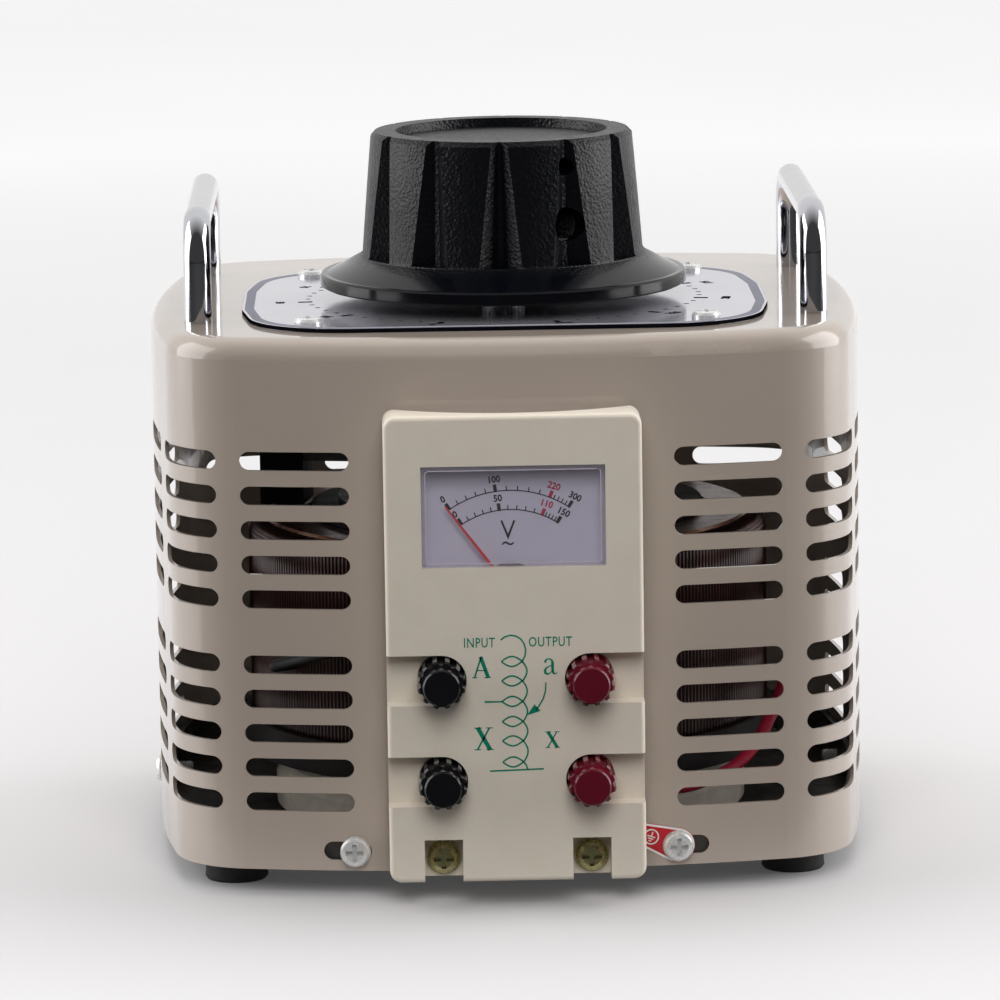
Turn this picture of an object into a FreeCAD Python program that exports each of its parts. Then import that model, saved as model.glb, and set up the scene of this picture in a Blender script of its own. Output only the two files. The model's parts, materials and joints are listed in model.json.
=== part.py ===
import FreeCAD, Part
import math
import os
import re
import Sketcher

# Bench autotransformer in a slotted steel hood, with a dial knob, a voltmeter and binding posts.
# Millimetres. Z is up from the surface under the feet, the terminal panel faces -Y, and the
# origin is midway between the four feet. The knob's shaft stands forward of it by axis_fwd.

doc = FreeCAD.newDocument("Variac")
V = FreeCAD.Vector

SIZES = {
    # hood and base
    "hood_wide": 105.0, "hood_deep": 98.8, "hood_bulge": 370.0, "hood_corner": 26.0,
    "hood_low": 7.9, "hood_top": 161.7, "hood_edge": 6.0, "hood_wall": 1.2,
    "slot_inner": 46.3, "slot_outer": 77.4, "slot_tall": 5.4, "slot_first": 126.8,
    "slot_step": 10.0, "slot_group": 59.0, "corner_slot": 28.7, "corner_slot_x": 92.4,
    "corner_slot_y": 76.5, "side_slot_inner": 24.0, "side_slot_outer": 55.0, "rear_slot_mid": 76.5,
    "side_fix_back": 25.0,
    "fix_off": 46.2, "fix_high": 13.7, "fix_slot": 8.3, "fix_shift": 2.3,
    "tray_low": 8.6, "tray_high": 22.0, "tray_wall": 1.8, "tray_inset": 1.5,
    "foot_across": 81.3, "foot_along": 66.1, "foot_wide": 9.2,
    # handles
    "grip_across": 89.3, "grip_along": 52.9, "grip_top": 190.3, "grip_rod": 4.0, "grip_bend": 11.0,
    # dial plate and knob
    "axis_fwd": 16.0, "plate_wide": 77.0, "plate_deep": 65.0, "plate_thick": 1.2,
    "plate_bolt_x": 57.3, "plate_bolt_y": 53.4,
    "knob_low": 167.0, "knob_high": 212.7, "knob_rim": 54.1, "knob_cone": 52.0, "knob_foot": 41.8,
    "knob_head": 38.6, "knob_dish": 30.6, "knob_waist": 176.0, "knob_turned": 28.0,
    "knob_pin_low": 188.0, "knob_pin_high": 204.8,
    # transformer
    "shaft_rad": 5.0, "shaft_foot": 14.0, "fit_gap": 0.05, "part_gap": 0.3,
    "coil_low": 33.0, "coil_high": 99.0, "coil_in": 36.0, "coil_out": 77.0, "coil_skin": 6.0,
    "track_high": 99.8, "track_in": 60.0, "bolt_ring": 27.0,
    "arm_low": 114.0, "arm_high": 121.0, "arm_half": 7.0, "arm_turned": 170.0, "hub_rad": 11.0,
    "brush_ring": 66.5, "brush_half_r": 3.0, "brush_half_t": 4.0, "stop_turned": 190.0,
    # panel, meter and binding posts
    "face": 114.5, "panel_half": 36.5, "panel_low": 8.2, "panel_high": 142.3, "panel_back": 97.9,
    "panel_sag": 12.0, "panel_arc": 61.5, "panel_round": 3.5,
    "post_across": 21.1, "post_upper": 66.7, "post_lower": 37.5, "channel_half": 7.2,
    "channel_deep": 6.5, "notch_half": 5.45, "notch_top": 20.6, "notch_deep": 9.0,
    "view_half": 26.0, "view_low": 98.9, "view_high": 127.9, "pivot_high": 91.6, "pivot_shift": 0.9,
    "dial_face": 107.5, "pointer_face": 110.0, "pointer_long": 30.0, "pointer_turned": 37.0,
}

sheet = doc.addObject("Spreadsheet::Sheet", "Dims")
for row, (alias, size) in enumerate(SIZES.items(), start=1):
    sheet.set(f"A{row}", alias)
    sheet.set(f"B{row}", str(size))
    sheet.setAlias(f"B{row}", alias)
doc.recompute()


def ref(expression):
    """The expression with every size's name turned into its spreadsheet cell."""
    return re.sub(r"[a-z_]+", lambda w: "Dims." + w.group() if w.group() in SIZES else w.group(),
                  str(expression))


# ---------------------------------------------------------------- sketches and features

def make_body(label):
    body = doc.addObject("PartDesign::Body", label)
    body.Label = label
    return body


def origin_item(body, role):
    return next(item for item in body.Origin.OriginFeatures if item.Role == role)


def open_sketch(body, name, role, at="0"):
    sketch = body.newObject("Sketcher::SketchObject", name)
    sketch.AttachmentSupport = (origin_item(body, role), "")
    sketch.MapMode = "FlatFace"
    sketch.setExpression("AttachmentOffset.Base.z", ref(at))
    return sketch


def bind(sketch, kind, args, name, expression, start=1.0):
    index = sketch.addConstraint(Sketcher.Constraint(kind, *args, start))
    sketch.renameConstraint(index, name)
    sketch.setExpression("Constraints." + name, ref(expression))


def add_polygon(sketch, points, tag="p"):
    first = sketch.GeometryCount
    count = len(points)
    guess = [V(3.0 * i + 1.0, 5.0 * (i % 2), 0) for i in range(count)]
    for i in range(count):
        sketch.addGeometry(Part.LineSegment(guess[i], guess[(i + 1) % count]), False)
    for i in range(count):
        sketch.addConstraint(Sketcher.Constraint("Coincident", first + i, 2,
                                                 first + (i + 1) % count, 1))
    for i, (across, up) in enumerate(points):
        bind(sketch, "DistanceX", (-1, 1, first + i, 1), f"{tag}x{i}", across)
        bind(sketch, "DistanceY", (-1, 1, first + i, 1), f"{tag}y{i}", up)


def polygon(body, name, role, points, at="0"):
    sketch = open_sketch(body, name, role, at)
    add_polygon(sketch, points)
    return sketch


def add_circle(sketch, across, up, radius):
    i = sketch.GeometryCount
    sketch.addGeometry(Part.Circle(V(10.0 * i, 0, 0), V(0, 0, 1), 2.0), False)
    bind(sketch, "DistanceX", (-1, 1, i, 3), f"cx{i}", across)
    bind(sketch, "DistanceY", (-1, 1, i, 3), f"cy{i}", up)
    bind(sketch, "Radius", (i,), f"cr{i}", radius)


def box_points(x_low, x_high, y_low, y_high):
    return [(x_low, y_low), (x_high, y_low), (x_high, y_high), (x_low, y_high)]


def circles(body, name, role, rounds, at="0"):
    """Circles of (across, up, radius)."""
    sketch = open_sketch(body, name, role, at)
    for across, up, radius in rounds:
        add_circle(sketch, across, up, radius)
    return sketch


def barrel(body, name, inset, at):
    """The hood's plan: four shallow arcs, inset by a distance."""
    sketch = open_sketch(body, name, "XY_Plane", at)
    wide, deep, bulge = SIZES["hood_wide"], SIZES["hood_deep"], SIZES["hood_bulge"]
    corner_x, corner_y = wide - 11.7, deep - 12.1
    centres = [V(0, bulge - deep, 0), V(wide - bulge, 0, 0), V(0, deep - bulge, 0), V(bulge - wide, 0, 0)]
    corners = [V(-corner_x, -corner_y, 0), V(corner_x, -corner_y, 0),
               V(corner_x, corner_y, 0), V(-corner_x, corner_y, 0)]
    middles = [V(0, -deep, 0), V(wide, 0, 0), V(0, deep, 0), V(-wide, 0, 0)]
    for i in range(4):
        sketch.addGeometry(Part.Arc(corners[i], middles[i], corners[(i + 1) % 4]), False)
    for i in range(4):
        sketch.addConstraint(Sketcher.Constraint("Coincident", i, 2, (i + 1) % 4, 1))
    for i in range(4):
        across = {1: "hood_wide - hood_bulge", 3: "hood_bulge - hood_wide"}.get(i, "0")
        up = {0: "hood_bulge - hood_deep", 2: "hood_deep - hood_bulge"}.get(i, "0")
        bind(sketch, "DistanceX", (-1, 1, i, 3), f"bx{i}", across, centres[i].x)
        bind(sketch, "DistanceY", (-1, 1, i, 3), f"by{i}", up, centres[i].y)
        bind(sketch, "Radius", (i,), f"br{i}", f"hood_bulge - {inset}", bulge)
    return sketch


def add_feature(body, kind, name, profile=None, **settings):
    feature = body.newObject("PartDesign::" + kind, name)
    if profile is not None:
        feature.Profile = profile
    for key, setting in settings.items():
        setattr(feature, key, setting)
    return feature


def pad(body, name, profile, length, backwards=False):
    feature = add_feature(body, "Pad", name, profile, Reversed=backwards)
    feature.setExpression("Length", ref(length))
    return feature


def pocket(body, name, profile, length, backwards=False):
    feature = add_feature(body, "Pocket", name, profile, Reversed=backwards)
    feature.setExpression("Length", ref(length))
    return feature


def pocket_through(body, name, profile, both_ways=False):
    if both_ways:
        feature = add_feature(body, "Pocket", name, profile, Midplane=True)
        feature.setExpression("Length", "600 mm")
        return feature
    return add_feature(body, "Pocket", name, profile, Type=1)


def revolve(body, name, points, kind="Revolution"):
    """Turns (radius, height) points about Z."""
    profile = polygon(body, name + "Profile", "XZ_Plane", points)
    return add_feature(body, kind, name, profile, ReferenceAxis=(profile, ["V_Axis"]), Angle=360.0)


def edge_names(shape, wanted):
    return [f"Edge{i + 1}" for i, edge in enumerate(shape.Edges) if wanted(edge)]


def dress(body, kind, name, wanted, size):
    """A fillet or chamfer on the edges that wanted() picks from the body's tip."""
    doc.recompute()
    base = body.Tip
    names = edge_names(base.Shape, wanted)
    feature = add_feature(body, kind, name, Base=(base, names))
    feature.setExpression("Radius" if kind == "Fillet" else "Size", ref(size))
    return feature


def repeat_round(body, name, originals, times):
    feature = add_feature(body, "PolarPattern", name, Originals=originals,
                          Axis=(origin_item(body, "Z_Axis"), [""]), Angle=360.0, Occurrences=times)
    body.Tip = feature
    return feature


def vertical(edge):
    ends = [v.Point for v in edge.Vertexes]
    return len(ends) == 2 and abs(ends[0].x - ends[1].x) < 1e-6 and abs(ends[0].y - ends[1].y) < 1e-6


def along_y(edge):
    ends = [v.Point for v in edge.Vertexes]
    return len(ends) == 2 and abs(ends[0].x - ends[1].x) < 1e-6 and abs(ends[0].z - ends[1].z) < 1e-6


def on_face(edge):
    return all(abs(v.Y + SIZES["face"]) < 1e-4 for v in edge.Vertexes)


def at_height(level):
    return lambda edge: all(abs(v.Point.z - level) < 1e-4 for v in edge.Vertexes)


def put(item, x="0", y="0", z="0", axis=(0, 0, 1), turned="0"):
    """Places an object by expressions, turned by degrees about an axis."""
    item.Placement = FreeCAD.Placement(V(0, 0, 0), FreeCAD.Rotation(V(*axis), 1.0))
    item.setExpression("Placement.Base.x", ref(x))
    item.setExpression("Placement.Base.y", ref(y))
    item.setExpression("Placement.Base.z", ref(z))
    item.setExpression("Placement.Rotation.Angle", ref(f"({turned}) * 1 deg"))
    return item


FRONT = {"axis": (1, 0, 0), "turned": "90"}
RIGHT = {"axis": (0, 1, 0), "turned": "90"}
UNDER = {"axis": (1, 0, 0), "turned": "180"}

exported = []


def keep(item, label=None):
    if label:
        item.Label = label
    exported.append(item)
    return item


def together(label, parts):
    """One node of several bodies that serve the same purpose."""
    group = doc.addObject("Part::Compound", label)
    group.Links = parts
    return keep(group, label)


def add_copies(label, source, places):
    """Identical solids: links to a source body at several places."""
    links = []
    for i, place in enumerate(places):
        link = doc.addObject("App::Link", f"{label}_{i + 1}")
        link.LinkedObject = source
        links.append(put(link, **place))
    group = doc.addObject("Part::Compound", label)
    group.Links = links
    return group


def copies(label, source, places):
    """One node of identical solids."""
    return keep(add_copies(label, source, places), label)


def four(x, y, **rest):
    return [dict(x=f"{sx} * {x}", y=f"{sy} * {y}", **rest) for sx in (-1, 1) for sy in (-1, 1)]


# ---------------------------------------------------------------- hardware

def pan_screw(label, shank, length, head, high, cross):
    """A pan head screw whose head stands on z = 0, with a cross recess."""
    body = make_body(label)
    revolve(body, "Turned", [("0", f"-{length}"), (f"{shank} - 0.4", f"-{length}"),
                             (shank, f"-{length} + 0.5"), (shank, "0"), (head, "0"),
                             (head, f"{high} * 0.45"), (f"{head} * 0.86", f"{high} * 0.82"),
                             (f"{head} * 0.6", high), ("0", high)])
    arm, half = cross, cross * 0.24
    plus = [(-arm, -half), (-half, -half), (-half, -arm), (half, -arm), (half, -half), (arm, -half),
            (arm, half), (half, half), (half, arm), (-half, arm), (-half, half), (-arm, half)]
    mark = polygon(body, "CrossProfile", "XY_Plane", plus, at=high)
    pocket(body, "Cross", mark, f"{high} * 0.55")
    return body


def hex_nut(label, across, high, bore):
    body = make_body(label)
    half = across / 2.0
    reach = across / 3 ** 0.5
    ring = [(reach, 0), (reach / 2, half), (-reach / 2, half), (-reach, 0), (-reach / 2, -half),
            (reach / 2, -half)]
    pad(body, "Hex", polygon(body, "HexProfile", "XY_Plane", ring), high)
    pocket_through(body, "Bore", circles(body, "BoreProfile", "XY_Plane", [("0", "0", bore)]),
                   both_ways=True)
    return body


def washer(label, bore, rim, thick):
    body = make_body(label)
    revolve(body, "Ring", [(bore, "0"), (rim, "0"), (rim, thick), (bore, thick)])
    return body


screw_m4 = pan_screw("screw_m4", 1.9, 9.0, 4.25, 2.3, 2.6)
screw_m5 = pan_screw("screw_m5", 2.4, 12.0, 4.5, 2.8, 2.9)
screw_dial = pan_screw("screw_dial", 1.9, 8.0, 4.25, 2.0, 2.6)
screw_foot = pan_screw("screw_foot", 1.9, 10.5, 3.9, 2.6, 2.0)
nut_m4 = hex_nut("nut_m4", 7.0, 3.2, 1.95)
nut_m6 = hex_nut("nut_m6", 10.0, 5.0, 3.0)
washer_m4 = washer("washer_m4", 2.15, 4.4, 0.7)
washer_m5 = washer("washer_m5", 2.6, 5.0, 1.0)
washer_m6 = washer("washer_m6", 3.2, 6.5, 1.2)

# ---------------------------------------------------------------- hood, tray and feet

hood_shell = make_body("hood_shell")
pad(hood_shell, "Shell", barrel(hood_shell, "Plan", "0", "hood_low"), "hood_top - hood_low")
dress(hood_shell, "Fillet", "Corners", vertical, "hood_corner")
dress(hood_shell, "Fillet", "TopEdge", at_height(SIZES["hood_top"]), "hood_edge")
doc.recompute()
low_face = min(range(len(hood_shell.Shape.Faces)), key=lambda i: hood_shell.Shape.Faces[i].CenterOfMass.z)
wall = add_feature(hood_shell, "Thickness", "Wall", Base=(hood_shell.Tip, [f"Face{low_face + 1}"]),
                   Reversed=True)
wall.setExpression("Value", ref("hood_wall"))
doc.recompute()

def long_cutter(label, span):
    """A round-ended bar along X, tall in Z and 24 mm deep in Y, that cuts one slot in a wall."""
    body = make_body(label)
    bar = polygon(body, "BarProfile", "XZ_Plane", box_points(f"-({span}) / 2", f"({span}) / 2",
                                                             "-slot_tall / 2", "slot_tall / 2"), at="-12")
    pad(body, "Bar", bar, "24")
    ends = circles(body, "EndsProfile", "XZ_Plane", [(f"-({span}) / 2", "0", "slot_tall / 2"),
                                                     (f"({span}) / 2", "0", "slot_tall / 2")], at="-12")
    pad(body, "Ends", ends, "24")
    return body


def round_cutter(label, radius):
    body = make_body(label)
    pad(body, "Peg", circles(body, "PegProfile", "XY_Plane", [("0", "0", radius)], at="-12"), "24")
    return body


wide_slot = long_cutter("wide_slot", "slot_outer - slot_inner - slot_tall")
side_slot = long_cutter("side_slot", "side_slot_outer - side_slot_inner - slot_tall")
corner_slot = long_cutter("corner_slot_cut", "corner_slot - slot_tall")
fix_slot = long_cutter("fix_slot_cut", "fix_slot")
levels = [f"slot_first - {group} - {k} * slot_step" for group in ("0", "slot_group") for k in range(5)]
side_middle = "(side_slot_outer + side_slot_inner) / 2"
REAR_LEVELS = 4
cuts = []


def add_cut(source, **place):
    link = doc.addObject("App::Link", f"cut_{len(cuts) + 1}")
    link.LinkedObject = source
    cuts.append(put(link, **place))


for i, level in enumerate(levels):
    for sx in (-1, 1):
        add_cut(wide_slot, x=f"{sx} * (slot_outer + slot_inner) / 2", y="-hood_deep", z=level)
        add_cut(corner_slot, x=f"{sx} * corner_slot_x", y="-corner_slot_y", z=level, turned=f"{60 * sx}")
        for sy in (-1, 1):
            add_cut(side_slot, x=f"{sx} * hood_wide", y=f"{sy} * {side_middle}", z=level, turned="90")
        if i < REAR_LEVELS:
            add_cut(side_slot, x=f"{sx} * {side_middle}", y="hood_deep", z=level)
            add_cut(wide_slot, x=f"{sx} * rear_slot_mid", y="hood_deep - 10", z=level)
for sx in (-1, 1):
    for sy in (-1, 1):
        add_cut(fix_slot, x=f"{sx} * (fix_off + fix_shift)", y=f"{sy} * hood_deep", z="fix_high")
side_hole = round_cutter("side_hole_cut", "2.3")
panel_hole = round_cutter("panel_hole_cut", "2.7")
shaft_hole = round_cutter("shaft_hole_cut", "8.6")
grip_hole = round_cutter("grip_hole_cut", "3.1")
dial_hole = round_cutter("dial_hole_cut", "2.0")
for sx in (-1, 1):
    add_cut(side_hole, x=f"{sx} * hood_wide", y="side_fix_back", z="fix_high", **RIGHT)
    add_cut(panel_hole, x=f"{sx} * post_across", y="-hood_deep", z="fix_high + 0.2", **FRONT)
    for sy in (-1, 1):
        add_cut(grip_hole, x=f"{sx} * grip_across", y=f"{sy} * grip_along", z="hood_top")
        add_cut(dial_hole, x=f"{sx} * plate_bolt_x", y=f"{sy} * plate_bolt_y - axis_fwd", z="hood_top")
add_cut(shaft_hole, y="-axis_fwd", z="hood_top")
panel_window = make_body("panel_window_cut")
pad(panel_window, "Bar", polygon(panel_window, "BarProfile", "XZ_Plane",
                                 box_points("-30", "30", "26", "136"), at="hood_deep - 12"), "24")
cutters = doc.addObject("Part::Compound", "hood_cutters")
cutters.Links = cuts + [panel_window]
hood = doc.addObject("Part::Cut", "hood")
hood.Base = hood_shell
hood.Tool = cutters
keep(hood)

tray = keep(make_body("base_tray"))
pad(tray, "Pan", barrel(tray, "Plan", "tray_inset", "tray_low"), "tray_high - tray_low")
dress(tray, "Fillet", "Corners", vertical, "hood_corner - tray_inset")
doc.recompute()
top_face = max(range(len(tray.Shape.Faces)), key=lambda i: tray.Shape.Faces[i].CenterOfMass.z)
rim = add_feature(tray, "Thickness", "Rim", Base=(tray.Tip, [f"Face{top_face + 1}"]), Reversed=True)
rim.setExpression("Value", ref("tray_wall"))
doc.recompute()
rim_holes = [(f"{sx} * fix_off", "fix_high", "2.6") for sx in (-1, 1)]
pocket_through(tray, "FixHolesCut", circles(tray, "FixHoles", "XZ_Plane", rim_holes), both_ways=True)
panel_taps = [(f"{sx} * post_across", "fix_high + 0.2", "2.45") for sx in (-1, 1)]
pocket(tray, "PanelTapsCut", circles(tray, "PanelTaps", "XZ_Plane", panel_taps), "130 mm", True)
side_taps = circles(tray, "SideTaps", "YZ_Plane", [("side_fix_back", "fix_high", "2.3")])
pocket_through(tray, "SideTapsCut", side_taps, both_ways=True)
floor_holes = [(f"{sx} * foot_across", f"{sy} * foot_along", "2.0") for sx in (-1, 1) for sy in (-1, 1)]
pocket_through(tray, "FloorHolesCut", circles(tray, "FloorHoles", "XY_Plane", floor_holes), both_ways=True)

foot = make_body("foot")
revolve(foot, "Turned", [("2.1", "4.2"), ("4.4", "4.2"), ("4.4", "0"), ("foot_wide - 0.6", "0"),
                         ("foot_wide", "0.8"), ("foot_wide - 0.5", "tray_low"), ("2.1", "tray_low")])
copies("rubber_feet", foot, four("foot_across", "foot_along"))
copies("foot_screws", screw_foot, four("foot_across", "foot_along", z="4.2", **UNDER))

def facing(*turns):
    """The axis and angle of several turns of (axis, degrees), the first one made first."""
    whole = FreeCAD.Rotation()
    for axis, angle in turns:
        whole = FreeCAD.Rotation(V(*axis), angle) * whole
    return dict(axis=tuple(whole.Axis), turned=str(math.degrees(whole.Angle)))


# the hood's wall leans away from the front by this angle at its fixing screws
LEAN = math.degrees(math.asin(SIZES["fix_off"] / SIZES["hood_bulge"]))
SIDE_LEAN = math.degrees(math.asin(SIZES["side_fix_back"] / SIZES["hood_bulge"]))
WALL_OUT = "(hood_deep - fix_off * fix_off / (2 * hood_bulge) + {0} * 0.992)"
SIDE_OUT = "(hood_wide - side_fix_back * side_fix_back / (2 * hood_bulge))"


def on_wall(lift):
    """The six places on the hood's wall where its fixing screws stand, lifted off it by a distance."""
    places = []
    for sx in (-1, 1):
        for sy, tip in ((-1, 90), (1, -90)):
            spin = facing(((1, 0, 0), tip), ((0, 0, 1), -LEAN * sx * sy))
            places.append(dict(x=f"{sx} * (fix_off + {lift} * 0.125)", y=f"{sy} * {WALL_OUT.format(lift)}",
                               z="fix_high", **spin))
        spin = facing(((0, 1, 0), 90 * sx), ((0, 0, 1), SIDE_LEAN * sx))
        places.append(dict(x=f"{sx} * ({SIDE_OUT} + {lift} * 0.998)", y=f"side_fix_back + {lift} * 0.068",
                           z="fix_high", **spin))
    return places


copies("hood_screws", screw_m4, on_wall(1.22))
fix_rings = add_copies("fix_rings", washer_m4, on_wall(0.3))

# ---------------------------------------------------------------- handles and dial plate

LEG_LOW = "hood_top - 12"


def handle(label, side):
    body = make_body(label)
    path = open_sketch(body, "Path", "YZ_Plane")
    bend, reach, crown = SIZES["grip_bend"], SIZES["grip_along"], SIZES["grip_top"]
    low = SIZES["hood_top"]
    path.addGeometry(Part.LineSegment(V(-reach, low, 0), V(-reach, crown - bend, 0)), False)
    path.addGeometry(Part.Arc(V(-reach, crown - bend, 0), V(-reach + bend * 0.293, crown - bend * 0.293, 0),
                              V(-reach + bend, crown, 0)), False)
    path.addGeometry(Part.LineSegment(V(-reach + bend, crown, 0), V(reach - bend, crown, 0)), False)
    path.addGeometry(Part.Arc(V(reach - bend, crown, 0), V(reach - bend * 0.293, crown - bend * 0.293, 0),
                              V(reach, crown - bend, 0)), False)
    path.addGeometry(Part.LineSegment(V(reach, crown - bend, 0), V(reach, low, 0)), False)
    for i, j, ends in ((0, 1, (2, 2)), (1, 2, (1, 1)), (2, 3, (2, 2)), (3, 4, (1, 1))):
        path.addConstraint(Sketcher.Constraint("Tangent", i, ends[0], j, ends[1]))
    bind(path, "DistanceX", (-1, 1, 0, 1), "px0", "-grip_along", -reach)
    bind(path, "DistanceY", (-1, 1, 0, 1), "py0", "hood_top", low)
    bind(path, "DistanceX", (-1, 1, 4, 2), "px4", "grip_along", reach)
    bind(path, "DistanceY", (-1, 1, 4, 2), "py4", "hood_top", low)
    bind(path, "DistanceY", (-1, 1, 2, 1), "py2", "grip_top", crown)
    bind(path, "Radius", (1,), "pr1", "grip_bend", bend)
    bind(path, "Radius", (3,), "pr3", "grip_bend", bend)
    path.addConstraint(Sketcher.Constraint("Vertical", 0))
    path.addConstraint(Sketcher.Constraint("Horizontal", 2))
    path.addConstraint(Sketcher.Constraint("Vertical", 4))
    rod = circles(body, "Rod", "XY_Plane", [("0", "-grip_along", "grip_rod")], at="hood_top")
    add_feature(body, "AdditivePipe", "Bail", rod, Spine=(path, [f"Edge{i}" for i in range(1, 6)]))
    legs = circles(body, "Spigots", "XY_Plane", [("0", "-grip_along", "2.95"), ("0", "grip_along", "2.95")],
                   at=LEG_LOW)
    pad(body, "Threads", legs, "hood_top - (" + LEG_LOW + ") + 0.5")
    return keep(put(body, x=f"{side} * grip_across"))


handle("handle_left", -1)
handle("handle_right", 1)
grip_rings = add_copies("grip_rings", washer_m6,
                        four("grip_across", "grip_along", z="hood_top - hood_wall - 1.2"))
together("plain_washers", [fix_rings, grip_rings])

plate = keep(make_body("dial_plate"))
outline = [("-71", "-plate_deep"), ("71", "-plate_deep"), ("plate_wide", "-20"), ("plate_wide", "20"),
           ("71", "plate_deep"), ("-71", "plate_deep"), ("-plate_wide", "20"), ("-plate_wide", "-20")]
pad(plate, "Sheet", polygon(plate, "Outline", "XY_Plane", outline), "plate_thick")
dress(plate, "Fillet", "Ends", vertical, "30")
holes = [("0", "0", "8.8")]
holes += [(f"{sx} * plate_bolt_x", f"{sy} * plate_bolt_y", "2.1") for sx in (-1, 1) for sy in (-1, 1)]
pocket_through(plate, "HolesCut", circles(plate, "Holes", "XY_Plane", holes), both_ways=True)
put(plate, y="-axis_fwd", z="hood_top")
dial_spots = [dict(x=f"{sx} * plate_bolt_x", y=f"{sy} * plate_bolt_y - axis_fwd")
              for sx in (-1, 1) for sy in (-1, 1)]
copies("dial_screws", screw_dial, [dict(z="hood_top + plate_thick", **spot) for spot in dial_spots])
copies("m4_nuts", nut_m4, [dict(z="hood_top - hood_wall - 3.2", **spot) for spot in dial_spots]
       + four("foot_across", "foot_along", z="tray_low + tray_wall"))

# ---------------------------------------------------------------- transformer, on the shaft's axis


def turned_body(label, points):
    body = make_body(label)
    revolve(body, "Turned", points)
    return put(body, y="-axis_fwd")


def turned_part(label, points):
    return keep(turned_body(label, points))


TRAY_TOP = "tray_low + tray_wall"
casting = turned_part("base_casting", [
    ("8", "18"), ("15", "18"), ("17", TRAY_TOP), ("67", TRAY_TOP), ("70", "13"), ("70", "21"), ("67", "25"),
    ("62", "27"), ("38", "27"), ("35", "20"), ("20", "20"), ("18", "30"), ("8", "30")])
tie_holes = [(f"bolt_ring * {c}", f"bolt_ring * {s}", "3.1") for c, s in ((1, 0), (-0.5, 0.8660),
                                                                         (-0.5, -0.8660))]
pocket_through(casting, "TieCut", circles(casting, "TieHoles", "XY_Plane", tie_holes), both_ways=True)
tie_sinks = [(across, up, "5.3") for across, up, bore in tie_holes]
pocket(casting, "SinksCut", circles(casting, "Sinks", "XY_Plane", tie_sinks, at="10"), "6", backwards=True)
lower_dish = turned_body("lower_dish", [
    ("34", "27"), ("64", "27"), ("79", "31"), ("79", "41"), ("coil_out + part_gap", "41"),
    ("coil_out + part_gap", "coil_low + 5"), ("coil_out - 5 + part_gap", "coil_low"), ("34", "coil_low")])
turned_part("toroid_core", [
    ("coil_in + coil_skin", "coil_low + coil_skin"), ("coil_out - coil_skin", "coil_low + coil_skin"),
    ("coil_out - coil_skin", "coil_high - coil_skin"), ("coil_in + coil_skin", "coil_high - coil_skin")])
winding = make_body("winding")
revolve(winding, "Turned", [
    ("coil_in", "coil_low + 4"), ("coil_in + 4", "coil_low"), ("coil_out - 5", "coil_low"),
    ("coil_out", "coil_low + 5"), ("coil_out", "coil_high - 5"), ("coil_out - 5", "coil_high"),
    ("coil_in + 4", "coil_high"), ("coil_in", "coil_high - 4")])
revolve(winding, "CoreSpace", [
    ("coil_in + coil_skin - part_gap", "coil_low + coil_skin - part_gap"),
    ("coil_out - coil_skin + part_gap", "coil_low + coil_skin - part_gap"),
    ("coil_out - coil_skin + part_gap", "coil_high - coil_skin + part_gap"),
    ("coil_in + coil_skin - part_gap", "coil_high - coil_skin + part_gap")], kind="Groove")
keep(put(winding, y="-axis_fwd"))
turned_part("brush_track", [("track_in", "coil_high"), ("coil_out - 5", "coil_high"),
                            ("coil_out - 5.6", "track_high"), ("track_in", "track_high")])
upper_ring = turned_body("upper_ring", [
    ("34", "coil_high"), ("58", "coil_high"), ("58", "102"), ("34", "102")])
together("coil_insulators", [lower_dish, upper_ring])
clamp = turned_part("clamp_plate", [
    ("8", "94"), ("12", "94"), ("13", "102"), ("50", "102"), ("50", "104.5"), ("12.5", "104.5"),
    ("12.5", "111"), ("8", "111")])
clamp_holes = tie_holes + [("-29.5", "-5.2", "2.0")]
pocket_through(clamp, "TieCut", circles(clamp, "TieHoles", "XY_Plane", clamp_holes), both_ways=True)
SHAFT_BORE = "shaft_rad + fit_gap"
upper_bush = turned_body("upper_bush", [
    (SHAFT_BORE, "94"), ("8", "94"), ("8", "111"), ("9.5", "111"), ("9.5", "112.8"), (SHAFT_BORE, "112.8")])
lower_bush = turned_body("lower_bush", [
    (SHAFT_BORE, "17"), ("9.5", "17"), ("9.5", "18"), ("8", "18"), ("8", "30"), (SHAFT_BORE, "30")])
top_bush = turned_body("top_bush", [
    (SHAFT_BORE, "158"), ("10.5", "158"), ("10.5", "hood_top - hood_wall"),
    ("8.5", "hood_top - hood_wall"), ("8.5", "163.2"), (SHAFT_BORE, "163.2")])
together("shaft_bushes", [lower_bush, upper_bush, top_bush])

tie = make_body("tie_bolt")
revolve(tie, "Turned", [("0", "12"), ("5", "12"), ("5", "16"), ("3", "16"), ("3", "111"), ("0", "111")])
ties = [dict(x=f"bolt_ring * {c}", y=f"bolt_ring * {s} - axis_fwd") for c, s in
        ((1, 0), (-0.5, 0.8660), (-0.5, -0.8660))]
copies("tie_bolts", tie, ties)
copies("m6_nuts", nut_m6, [dict(z="104.5", **spot) for spot in ties]
       + four("grip_across", "grip_along", z="hood_top - hood_wall - 6.2"))

stop = make_body("stop_post")
revolve(stop, "Turned", [("0", "98"), ("1.95", "98"), ("1.95", "104.5"), ("3", "104.5"), ("3", "133"),
                         ("0", "133")])
keep(put(stop, x="-29.5", y="-5.2 - axis_fwd"))

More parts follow.
